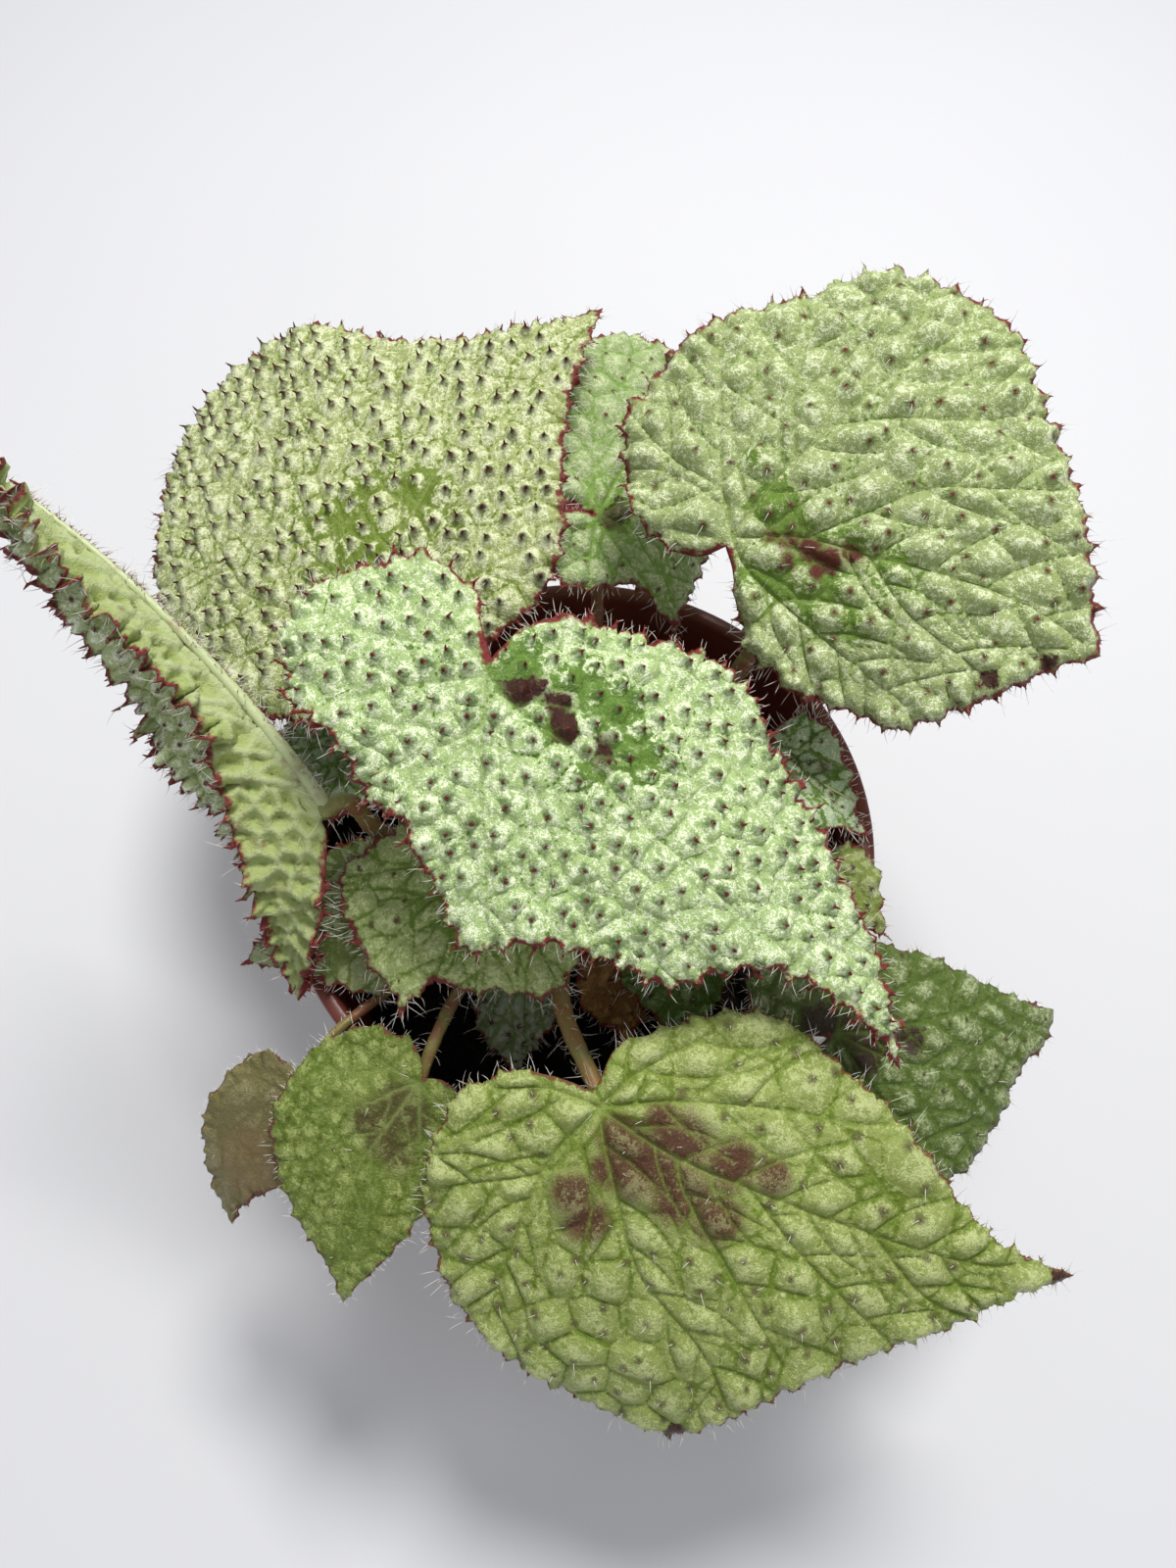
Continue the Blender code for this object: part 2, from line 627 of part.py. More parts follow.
def turned_object(group, name, profile, sides, material):
    """The profile of (radius, height) points turned about the upright axis, in millimetres."""
    mesh = bpy.data.meshes.new(name)
    places = [(radius * MM, 0.0, height * MM) for radius, height in profile]
    edges = [(index, index + 1) for index in range(len(places) - 1)]
    mesh.from_pydata(places, edges, [])
    obj = add_object(group, name, mesh, material)
    screw = obj.modifiers.new("turn", "SCREW")
    screw.steps = sides
    screw.render_steps = sides
    screw.use_merge_vertices = True
    screw.merge_threshold = 1e-5
    screw.use_smooth_shade = True
    return obj


def pot_outer_radius(height):
    slope = (POT_RIM_RADIUS - POT_BAND_STEP - POT_FOOT_RADIUS) / POT_HEIGHT
    return POT_FOOT_RADIUS + slope * height


def pot_inner_radius(height):
    return pot_outer_radius(height) - POT_WALL


def pot_profile():
    """From the middle of the floor up the inside, over the rolled lip and down the outside."""
    lip = POT_HEIGHT - POT_LIP_RADIUS
    band_foot = POT_HEIGHT - POT_BAND_HEIGHT
    return (
        (0, POT_FLOOR),
        (pot_inner_radius(POT_FLOOR), POT_FLOOR),
        (pot_inner_radius(lip), lip),
        (pot_inner_radius(POT_HEIGHT) + 0.5 * POT_LIP_RADIUS, POT_HEIGHT),
        (POT_RIM_RADIUS - 0.6 * POT_LIP_RADIUS, POT_HEIGHT),
        (POT_RIM_RADIUS, lip),
        (POT_RIM_RADIUS - 0.3 * POT_BAND_STEP, lip - POT_LIP_RADIUS),
        (pot_outer_radius(band_foot) + POT_BAND_STEP, band_foot),
        (pot_outer_radius(band_foot), band_foot - 0.5 * POT_BAND_STEP),
        (POT_FOOT_RADIUS, 1.0),
        (POT_FOOT_RADIUS - 1.0, 0),
        (0, 0),
    )


def make_drain_cutters():
    holes = make_collection("Drain holes", hidden=True)
    for index in range(DRAIN_HOLES):
        angle = 2 * math.pi * (index + 0.5) / DRAIN_HOLES
        shape = bmesh.new()
        bmesh.ops.create_cone(
            shape, cap_ends=True, segments=DRAIN_SIDES, depth=4 * POT_FLOOR * MM,
            radius1=DRAIN_HOLE_RADIUS * MM, radius2=DRAIN_HOLE_RADIUS * MM,
        )
        mesh = bpy.data.meshes.new(f"drain_cutter_{index}")
        shape.to_mesh(mesh)
        shape.free()
        cutter = add_cutter(holes, f"drain_cutter_{index}", mesh)
        outward = Vector((math.cos(angle), math.sin(angle), 0))
        cutter.location = outward * DRAIN_CIRCLE_RADIUS * MM
    return holes


def make_pot(group):
    material = make_material("pot_plastic", POT_COLOUR, POT_ROUGHNESS)
    pot = turned_object(group, "pot", pot_profile(), POT_SIDES, material)
    cut(pot, make_drain_cutters(), "drain holes")
    return pot


# Soil


def soil_profile():
    """From the top's middle out to the pot's wall, down beside it and in along the floor."""
    edge = pot_inner_radius(SOIL_TOP) - SOIL_GAP
    floor = POT_FLOOR + SOIL_GAP
    shares = [index / SOIL_RINGS for index in range(SOIL_RINGS)]
    top = [(edge * share, SOIL_TOP + SOIL_DOME * (1 - share**2)) for share in shares]
    return [*top, (edge, SOIL_TOP), (pot_inner_radius(floor) - SOIL_GAP, floor), (0, floor)]


def soil_lump(x, y):
    coarse = math.sin(0.31 * x + 1.3) * math.cos(0.27 * y - 0.4)
    fine = math.sin(0.83 * x - 0.55 * y) * math.cos(0.71 * y + 0.62 * x + 2.0)
    return SOIL_LUMP * (0.55 * coarse + 0.45 * fine)


def make_soil(group, holes):
    """A turned body with a lumpy top, and a plain hole for each stem."""
    shape = bmesh.new()
    corners = [shape.verts.new((radius * MM, 0, height * MM)) for radius, height in soil_profile()]
    edges = [shape.edges.new(pair) for pair in zip(corners, corners[1:])]
    bmesh.ops.spin(
        shape, geom=corners + edges, cent=(0, 0, 0), axis=(0, 0, 1), angle=2 * math.pi,
        steps=SOIL_SIDES, use_merge=True,
    )
    bmesh.ops.remove_doubles(shape, verts=shape.verts, dist=1e-5)
    bmesh.ops.recalc_face_normals(shape, faces=shape.faces)
    for vert in shape.verts:
        if vert.co.z > (SOIL_TOP - 1) * MM:
            vert.co.z += soil_lump(vert.co.x / MM, vert.co.y / MM) * MM
    bmesh.ops.triangulate(shape, faces=shape.faces)
    mesh = bpy.data.meshes.new("soil")
    shape.to_mesh(mesh)
    shape.free()
    soil = add_object(group, "soil", mesh, make_material("soil_peat", SOIL_COLOUR, SOIL_ROUGHNESS))
    cut(soil, holes, "stem holes")
    return soil


def main():
    clear_scene()
    plant = make_collection("Potted begonia")
    cutters = make_collection("Stem holes", hidden=True)
    for name, leaf in LEAVES.items():
        make_blade(plant, name + "_blade", leaf)
        make_stalk(plant, name + "_stalk", leaf)
        make_hole_cutter(cutters, "hole_" + name, leaf)
    make_rhizome(plant)
    make_rhizome_cutter(cutters)
    make_soil(plant, cutters)
    make_pot(plant)


main()
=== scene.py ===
"""Looks of the potted begonia: fine leaf skins, veins, spots, toothed red margins, hairs, pot and soil."""

import math
import random
from types import SimpleNamespace

import bmesh
import bpy
import numpy as np
from mathutils import Matrix, Vector, kdtree
from mathutils.geometry import delaunay_2d_cdt


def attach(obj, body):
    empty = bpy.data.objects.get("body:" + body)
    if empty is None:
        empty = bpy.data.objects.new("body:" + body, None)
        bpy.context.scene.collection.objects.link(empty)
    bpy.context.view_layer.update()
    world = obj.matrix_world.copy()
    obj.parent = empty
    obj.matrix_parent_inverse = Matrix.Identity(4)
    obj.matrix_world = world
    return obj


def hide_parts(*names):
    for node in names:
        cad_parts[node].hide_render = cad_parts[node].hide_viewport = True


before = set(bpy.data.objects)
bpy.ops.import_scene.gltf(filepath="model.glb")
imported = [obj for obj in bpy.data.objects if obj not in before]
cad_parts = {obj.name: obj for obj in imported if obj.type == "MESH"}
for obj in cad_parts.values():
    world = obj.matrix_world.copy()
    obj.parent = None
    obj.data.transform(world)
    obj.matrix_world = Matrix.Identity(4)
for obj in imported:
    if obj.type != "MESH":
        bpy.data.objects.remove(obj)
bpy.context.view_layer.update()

MM = 0.001

# The solids' own measures, in millimetres: pot, soil, blades, stalks and rhizome
POT_HEIGHT = 95.0
POT_RIM_RADIUS = 60.0
POT_FOOT_RADIUS = 42.5
POT_WALL = 1.6
POT_FLOOR = 2.4
POT_BAND_STEP = 1.6
POT_BAND_HEIGHT = 13.0
POT_LIP_RADIUS = 1.2
DRAIN_HOLES = 6
DRAIN_HOLE_RADIUS = 4.0
DRAIN_CIRCLE_RADIUS = 29.0
SOIL_TOP = 79.5
SOIL_GAP = 0.6
SOIL_DOME = 3.0
SOIL_LUMP = 1.1
SOIL_CLEAR = SOIL_TOP + SOIL_DOME + 2 * SOIL_LUMP
BLADE_THICKNESS = 0.7
RIM_SPACING = 0.62
TOOTH_SPREAD = (0.6, 1.3)
NOTCH_SHARE = 0.03
CREASE_SHARE = 0.03
FADE_SHARES = (0.10, 0.22)
RUFFLE_REACH = 7.0
SEAT_GAP = 0.55
STALK_DEPTH = 12.0
STALK_STRAIGHT_SHARE = 0.25
STALK_TAPER = 0.7
STALK_INSERT = 0.45
RHIZOME_RADIUS = 5.0
RHIZOME_PATH = ((-3, -3, 66), (-2, -1, 76), (1, 1, 86), (4, 2, 92))
RHIZOME_SCAR = 0.10
RHIZOME_TIP = 0.45

# Camera, from the ellipse of the pot's rim
CAMERA_PLACE = (0.002, -0.088, 0.317)
CAMERA_TILT = 24.0
CAMERA_LENS = 27.045

# What the lights aim at, in metres, strength of the pale surrounding, half the floor in millimetres
LIT_PLACE = (0, 0, 0.1)
SURROUNDING = 0.41
FLOOR_HALF = 2500

# Fineness: pitch of a blade's points in millimetres, their gap to the rim as a share of it, how many are
# tested at once, thickness of the skin, and counts, sizes and roughness for pot and soil
PITCH = 0.56
INNER_GAP = 0.55
CHUNK = 4000
SKIN = 0.55
RIM_SKIN = 0.22
POT_FINE_SIDES = 144
SOIL_FINE_RINGS = 44
SOIL_FINE_SIDES = 200
CRUMBS = 520
CRUMB_SIZES = (0.5, 0.7, 0.9, 1.2, 1.7)
CRUMB_SPREADS = ((0.7, 1.4), (0.7, 1.4), (0.5, 0.9))
CRUMB_ROUGH = 0.2
SOIL_ROUGH = 0.22

# Numbers at each point of a blade that its material reads. Distances are in millimetres.
PAINTED = ("silver", "vein", "dot", "edge", "blotch", "burnt", "core", "under")

# Rim: points to a tooth, its curve, random raggedness, and three wavelengths of crinkle
RIM_PITCH = 0.8
CUSP = 0.6
RAGGED = 0.42
CRIMP_LENGTHS = (2.9, 4.7, 8.3)
CRIMP_HEIGHT = 0.6
RIM_FADE = (-0.4, 2.4)
RIM_THICK = 1.8

# Veins: step and room in millimetres, shares of the blade's length, tapers and shares of a main vein's
# width, and the ranges of the side veins' angles, curves, lengths and gaps
VEIN_STEP = 0.4
STALK_REACH = 0.13
MIDRIB_SHARE = 0.92
VEIN_SHARE = 0.62
VEIN_SWAY = 5
VEIN_TAPER = 0.7
VEIN_ROOM = 1.2
SIDE_VEIN = 0.55
SIDE_TAPER = 0.6
SIDE_ANGLES = (42, 60)
SIDE_CURVES = (0.012, 0.045)
SIDE_LENGTHS = (1.2, 2.4)
SIDE_GAPS = (0.35, 0.65)
RIB_SIDES = 8
RIB_STEP = 1.3
RIB_SHARE = 0.94
RIB_TAPER = 0.8
SIDE_RIB = 0.6
VEIN_DEPTH = 1.2
RAISED_RIB = 1.3

# Puffs: shares of the blade's length and of their spacing, spreads, shapes, and what is lost at a vein
CELL_SHARE = 0.16
CELL_JITTER = 0.24
RIM_ROOM = 0.22
VEIN_GAP = 0.12
TOP_GAP = 0.8
PUFF_SPREAD = (0.7, 1.25)
DOT_SPREAD = (0.75, 1.25)
SCALE_EDGE = 8
SCALE_HEIGHT = 1.4
PILLOW_SHARE = 0.33
RIDGED = 0.3
RIDGE_CLEAR = 0.9
VEIN_REACH = 1.3
CREASE_WIDTH = 0.09
CREASE_DEPTH = 0.2
VALLEY_SHARE = 0.2
BARE_LOSS = 1.4
VEIN_LOSS = 0.8

# Hairs, in millimetres. Each kind has its stray, its range of lengths, which is a share of the look's length
# where the look gives one, and its "red" number, which is below 1 for a pale hair.
HAIR_RADIUS = 0.095
HAIR_RINGS = 5
HAIR_TAPER = 0.75
HAIR_CURL = 0.35
HAIR_DROOP = 0.1
STIFFNESS = 0.2
RIM_HAIR_SHARE = 0.5
RIM_HAIR_RISE = (-0.2, 0.7)
SPINE_SHARE = 0.3
SPINE_WIDTH = 0.2
BRISTLE_WIDTH = 0.26
SEEN_BRISTLE = 0.25
RED_SPINE = 2.0
DARK_BRISTLE = 3.0
RIM_HAIR = (0.35, (0.4, 1.0), 0.5)
RIM_SPINE = (0.3, (0.6, 1.2), RED_SPINE)
FACE_HAIR = (0.45, (0.5, 1.15), 0.15)
MIDRIB_HAIR = (0.9, (1.2, 3.4), 0.6)
DOT_BRISTLE = (0.25, (0.7, 1.2), DARK_BRISTLE)
STALK_HAIR = (0.45, (1.0, 3.0), 0.1)
STALK_CURL = 0.55

# Stalks and rhizome: sides, ridges, swellings of the radius, and roughness
STALK_SIDES = 14
STALK_RIDGES = 5
STALK_STEP = 1.2
STALK_RIDGE = 0.05
STALK_SWELLS = ((0.04, 0.9), (0.03, 2.3))
STALK_END = 0.75
RHIZOME_SIDES = 28
RHIZOME_SCARS = 4.5
BARK_ROUGH = 0.04

# Colours
STAIN = (0.075, 0.018, 0.012)
BURN = (0.05, 0.018, 0.008)
BACK = (0.30, 0.37, 0.12)
BACK_RIB = (0.46, 0.50, 0.22)
BACK_FLUSH = (0.30, 0.14, 0.09)
HAIR_ROOT = (0.45, 0.26, 0.17)
HAIR_END = (0.92, 0.90, 0.83)
STALK_GREEN = (0.24, 0.26, 0.07)
STALK_RED = (0.22, 0.055, 0.03)
STALK_FLECK = (0.46, 0.36, 0.20)
POT_DARK = (0.105, 0.022, 0.016)
POT_LIGHT = (0.20, 0.045, 0.030)
POT_DUST = (0.30, 0.17, 0.13)
SOIL_DARK = (0.008, 0.006, 0.005)
SOIL_LIGHT = (0.045, 0.030, 0.022)
SOIL_FIBRE = (0.10, 0.065, 0.035)
BARK_DARK = (0.06, 0.025, 0.012)
BARK_LIGHT = (0.22, 0.12, 0.06)
FLOOR_LOW = (0.73, 0.735, 0.765)
FLOOR_HIGH = (0.78, 0.785, 0.815)

# Leaf blades. Places are in millimetres from the foot of the pot's axis, angles in degrees.
# Each rim point is (direction from the midrib, reach as a share of the length), left side positive.
CENTRE = dict(
    base=(-14, 5.5, 150), heading=-36, pitch=-10, roll=8, length=97, bend=-28, back=-10,
    fold=(-6, -8), curl=(-25, -35), tip=(-2, 1.03),
    left=((106, 0.05), (94, 0.11), (78, 0.19), (62, 0.27), (49, 0.37), (40, 0.45), (30, 0.51),
          (20, 0.62), (11, 0.74), (5, 0.87)),
    right=((-3, 0.88), (-5, 0.74), (-12, 0.66), (-21, 0.63), (-32, 0.51), (-45, 0.47), (-57, 0.48),
           (-70, 0.36), (-85, 0.30), (-98, 0.31), (-120, 0.29), (-137, 0.36), (-157, 0.37),
           (-176, 0.34), (-194, 0.28), (-208, 0.25), (-227, 0.17), (-224, 0.10)),
    mesh=4.0, tooth=1.7, ruffle=(1.5, 9), stalk=((-10, 6), (-13, 7, 118)), stalk_radius=2.3,
)
FRONT = dict(
    base=(4, -56.5, 110), heading=-18, pitch=-4, roll=21, length=91, bend=-20, back=-10,
    fold=(-4, -6), curl=(-30, -40), tip=(1, 1.01),
    left=((108, 0.05), (92, 0.12), (76, 0.17), (65, 0.24), (53, 0.34), (42, 0.41), (30, 0.47),
          (18, 0.58), (8, 0.69), (3, 0.80)),
    right=((-4, 0.92), (-13, 0.84), (-23, 0.77), (-34, 0.73), (-46, 0.74), (-58, 0.78), (-70, 0.71),
           (-84, 0.64), (-98, 0.57), (-114, 0.50), (-134, 0.41), (-152, 0.33), (-170, 0.27),
           (-186, 0.18), (-200, 0.08)),
    mesh=4.6, tooth=1.2, ruffle=(0.8, 7),
    stalk=((-2, -17), (-3, -36, 101)), stalk_radius=2.1,
)
BACK_RIGHT = dict(
    base=(28, 40, 140), heading=-20, pitch=4, roll=30, length=70, bend=-10, back=-10,
    fold=(-2, -4), curl=(-20, -30), tip=(-1, 0.97),
    left=((225, 0.10), (203, 0.19), (184, 0.27), (165, 0.35), (148, 0.44), (133, 0.49), (118, 0.56),
          (104, 0.62), (88, 0.70), (77, 0.81), (65, 0.87), (54, 0.88), (42, 0.85), (28, 0.86),
          (14, 0.90), (5, 0.94)),
    right=((-5, 0.92), (-13, 0.82), (-23, 0.75), (-34, 0.68), (-40, 0.58), (-50, 0.48), (-60, 0.38),
           (-70, 0.30), (-75, 0.19), (-71, 0.10)),
    mesh=4.4, tooth=1.6, ruffle=(0.9, 11),
    stalk=((14, 14), (36, 37, 106)), stalk_radius=2.2,
)
BACK_LEFT = dict(
    base=(-38, 24, 126), heading=56, pitch=22, roll=-4, length=80, bend=-20, back=-20,
    fold=(-4, -4), curl=(-20, -30), tip=(2, 1.04),
    left=((215, 0.10), (180, 0.22), (152, 0.31), (137, 0.41), (122, 0.55), (106, 0.74), (92, 0.87),
          (80, 1.03), (70, 1.13), (60, 1.12), (49, 1.10), (40, 0.98), (30, 0.90), (20, 0.88),
          (11, 0.93)),
    right=((-1, 0.91), (-5, 0.77), (-15, 0.62), (-27, 0.54), (-40, 0.44), (-54, 0.31), (-80, 0.18),
           (-105, 0.10)),
    mesh=4.2, tooth=1.3, ruffle=(0.9, 9),
    stalk=((-13, 14), (-34, 24, 104)), stalk_radius=2.2,
)
LEFT = dict(
    base=(-46, -8.6, 125), heading=127, pitch=26, roll=-107, length=98, bend=0, back=0,
    sweep=26, twist=25, fold=(68, 92), open=(2, -82), curl=(-10, 10), tip=(2, 1.0),
    left=((120, 0.12), (98, 0.22), (80, 0.24), (62, 0.26), (47, 0.31), (36, 0.37), (25, 0.43),
          (17, 0.54), (11, 0.66), (6, 0.80)),
    right=((-4, 0.82), (-10, 0.66), (-14, 0.52), (-16, 0.40), (-23, 0.28), (-45, 0.20), (-76, 0.18),
           (-100, 0.22), (-118, 0.30), (-131, 0.44), (-139, 0.36), (-146, 0.22), (-151, 0.08)),
    mesh=4.2, tooth=1.5, ruffle=(0.7, 9),
    stalk=((-14, 0), (-35, -6, 108)), stalk_radius=2.2,
)
FRONT_LEFT = dict(
    base=(-28.5, -51, 102), heading=-112, pitch=-17, roll=-9, length=44, bend=-24, back=-10,
    fold=(-5, -5), curl=(-30, -30), tip=(0, 1.02),
    left=((110, 0.12), (82, 0.26), (60, 0.36), (40, 0.46), (23, 0.57), (12, 0.72), (5, 0.86)),
    right=((-7, 0.89), (-20, 0.82), (-36, 0.75), (-52, 0.68), (-68, 0.58), (-88, 0.48), (-108, 0.37),
           (-126, 0.29), (-146, 0.20), (-165, 0.10)),
    mesh=4.4, tooth=0.9, ruffle=(0.7, 6),
    stalk=((-16, -18), (-22, -32, 97), (-26, -43, 101)), stalk_radius=1.6,
)
OLD_LEFT = dict(
    base=(-52.5, -52, 94), heading=-126, pitch=-30, roll=0, length=35, bend=-24, back=-10,
    fold=(0, 0), curl=(-10, -10), tip=(0, 1.0),
    left=((110, 0.15), (85, 0.30), (60, 0.38), (38, 0.46), (18, 0.56), (7, 0.70), (2, 0.86)),
    right=((-8, 0.96), (-20, 0.84), (-34, 0.70), (-50, 0.56), (-70, 0.44), (-92, 0.36), (-112, 0.30),
           (-130, 0.24), (-150, 0.14)),
    veins=(0, 35, 70, -35, -75, -115),
    mesh=4.6, tooth=0.8, ruffle=(0.6, 5),
    stalk=((-19, -14), (-38, -34, 95.5), (-46, -42, 97.4)), stalk_radius=1.2,
)
RIGHT = dict(
    base=(47, -42.5, 103), heading=8, pitch=-9, roll=15, length=50, bend=-20, back=-10,
    fold=(-5, -5), curl=(-20, -20), tip=(2, 1.0),
    left=((172, 0.20), (158, 0.34), (136, 0.40), (112, 0.38), (86, 0.38), (64, 0.40), (43, 0.44),
          (32, 0.52), (20, 0.61), (12, 0.70), (6, 0.84)),
    right=((-6, 0.95), (-13, 0.84), (-23, 0.83), (-35, 0.81), (-48, 0.78), (-64, 0.66), (-84, 0.52),
           (-108, 0.38), (-132, 0.28), (-148, 0.15)),
    veins=(0, 30, 65, -28, -60, -100),
    mesh=4.4, tooth=0.9, ruffle=(0.6, 6),
    stalk=((24, -10), (41, -30, 99)), stalk_radius=1.6,
)
BACK_MIDDLE = dict(
    base=(4, 56.5, 124), heading=-50, pitch=-34, roll=0, length=32, bend=-20, back=-34,
    fold=(0, 0), curl=(-10, -10), tip=(5, 0.98),
    left=((218, 0.42), (180, 0.84), (160, 1.12), (140, 1.30), (120, 1.36), (100, 1.22), (78, 1.02),
          (50, 0.90), (34, 0.88), (20, 0.86), (11, 0.90)),
    right=((1, 0.72), (-3, 0.54), (-20, 0.48), (-42, 0.47), (-63, 0.52), (-80, 0.48), (-100, 0.42),
           (-138, 0.40)),
    veins=(0, 40, 85, 120, 155, -50),
    mesh=4.6, tooth=1.2, ruffle=(0.8, 6),
    stalk=((1, 18), (4, 50, 100)), stalk_radius=1.7,
)
UNDER_LEFT = dict(
    base=(-17, -17, 118), heading=-118, pitch=-12, roll=0, length=40, bend=-20, back=-10,
    fold=(0, 0), curl=(-10, -10), tip=(-3, 0.74),
    left=((120, 0.20), (98, 0.46), (82, 0.58), (66, 0.63), (52, 0.63), (38, 0.55), (20, 0.55),
          (6, 0.53)),
    right=((-14, 0.67), (-26, 0.69), (-40, 0.68), (-52, 0.68), (-66, 0.66), (-84, 0.54),
           (-110, 0.40), (-135, 0.24)),
    veins=(0, 36, 72, -36, -72),
    mesh=4.6, tooth=1.2, ruffle=(0.8, 6),
    stalk=((-10, -11), (-16, -16, 100)), stalk_radius=1.8,
)

# One outline for the small leaves that are mostly hidden
SMALL_LEFT = ((120, 0.16), (92, 0.34), (66, 0.46), (44, 0.52), (26, 0.60), (12, 0.74), (4, 0.88))
SMALL_RIGHT = ((-6, 0.90), (-18, 0.80), (-34, 0.74), (-52, 0.70), (-72, 0.60), (-94, 0.50),
               (-118, 0.40), (-142, 0.28), (-164, 0.14))
SMALL = dict(
    roll=0, bend=-24, back=-10, fold=(-6, -6), curl=(-15, -15), tip=(0, 1.0),
    left=SMALL_LEFT, right=SMALL_RIGHT, veins=(0, 35, 75, -35, -75, -120),
    mesh=4.2, tooth=1.0, ruffle=(0.7, 6), stalk_radius=1.4,
)
YOUNG_RIGHT = dict(
    SMALL, base=(38, 12, 110), heading=-40, pitch=-4, length=26, fold=(34, 26), ruffle=(1.4, 7),
    stalk=((18, 7), (35, 12, 96)),
)
SMALL_RIGHT_LEAF = dict(
    SMALL, base=(49, -8, 102), heading=-52, pitch=-4, length=20,
    stalk=((23, -2), (43, -8, 94)),
)
UNDER_FRONT = dict(
    SMALL, base=(22, -20, 99), heading=-94, pitch=-8, length=26,
    stalk=((13, -9), (21, -19, 91)),
)
OLD_BROWN = dict(
    SMALL, base=(9.5, -25, 92), heading=-88, pitch=-6, length=19,
    stalk=((8, -17), (9, -22, 88)),
)
SHADED_FRONT = dict(
    SMALL, base=(-10, -30, 90), heading=-96, pitch=-4, length=19,
    stalk=((-7, -23), (-9, -27, 87.5)),
)
SHADED_LEFT = dict(
    SMALL, base=(-44, 13, 106), heading=-160, pitch=-12, length=30,
    stalk=((-21, 8), (-40, 13, 97)),
)
LOW_LEFT = dict(
    SMALL, base=(-34, -19, 101), heading=-166, pitch=-2, length=34,
    stalk=((-19, -9), (-31, -19, 94)),
)

LEAVES = {
    "leaf_centre": CENTRE,
    "leaf_front": FRONT,
    "leaf_back_right": BACK_RIGHT,
    "leaf_back_left": BACK_LEFT,
    "leaf_left_folded": LEFT,
    "leaf_front_left": FRONT_LEFT,
    "leaf_old_left": OLD_LEFT,
    "leaf_right": RIGHT,
    "leaf_back_middle": BACK_MIDDLE,
    "leaf_under_left": UNDER_LEFT,
    "leaf_young_right": YOUNG_RIGHT,
    "leaf_small_right": SMALL_RIGHT_LEAF,
    "leaf_under_front": UNDER_FRONT,
    "leaf_old_brown": OLD_BROWN,
    "leaf_shaded_front": SHADED_FRONT,
    "leaf_shaded_left": SHADED_LEFT,
    "leaf_low_left": LOW_LEFT,
}

# How a leaf looks unless its own entry says otherwise. Lengths are in millimetres.
BASE_LOOK = dict(
    # Puffs: spacing, its stretch, height, how conical, flat, scale-like or bound to the veins they are, lean
    # of the tops, height and width of the point at a dot, spacing of the dots where it isn't the puffs'
    cell=5.0, stretch=(1, 1), puff=1.0, cone=0.2, flat=2.6, shingle=0.0, between=0.15, lean=0.0,
    peak=(0.3, 0.5), dots=0,
    # Veins: lines, width, radius of the ribs below, spacing of the side veins; height and reach of the
    # rim's crinkle
    ribs=(), rib_width=0.5, rib=0.7, branch=8, crimp=0.5, crimp_reach=2.2,
    # Silver: amount, change from puff to puff, clear width at the veins, softness, how far patches follow
    # whole puffs, painted highlight on the tops, painted sheen, share that a top keeps in a bare patch
    amount=0.7, uneven=0.12, clear=0.4, soft=0.35, patchy=0.75, top_highlight=0.15, sheen_veil=0.0, capped=0.5,
    # Patches that are bare of silver, stained and burnt; the stain's strength, softness and silver in it
    bare=(), blotch=(), burnt=(), stain=STAIN, stained=0.85, stain_soft=0.35, through=0.1,
    # Colours, with their strengths and widths
    # pale is the silver's own pale mottle and partly a painted highlight on the puffs' tops
    silver=(0.24, 0.3, 0.12), pale=(0.4, 0.48, 0.24), green=(0.09, 0.17, 0.02), vein=(0.2, 0.28, 0.06),
    # deep is the dark halo round each dot: partly the leaf's own dark blotch, partly painted shade
    veined=0.75, deep=(0.06, 0.10, 0.02), dot=(0.10, 0.035, 0.025), dot_size=(0.15, 0.5), halo=0.9,
    # crease is painted shade laid along the creases between the puffs
    crease=(0.09, 0.17, 0.03), crease_shade=0.4, margin=(0.20, 0.032, 0.026), margin_width=0.6,
    back=BACK, back_rib=BACK_RIB, stalk=STALK_RED,
    # Hairs: length of bristles, length and number of hairs to a dot, length of hairs and spines on the rim,
    # number to a millimetre under the midrib and on the stalk
    bristle=0.3, hair=(2.2, 0.6), rim_hair=2.8, spine=0.8, under_hair=0, stalk_hairs=1.2,
)

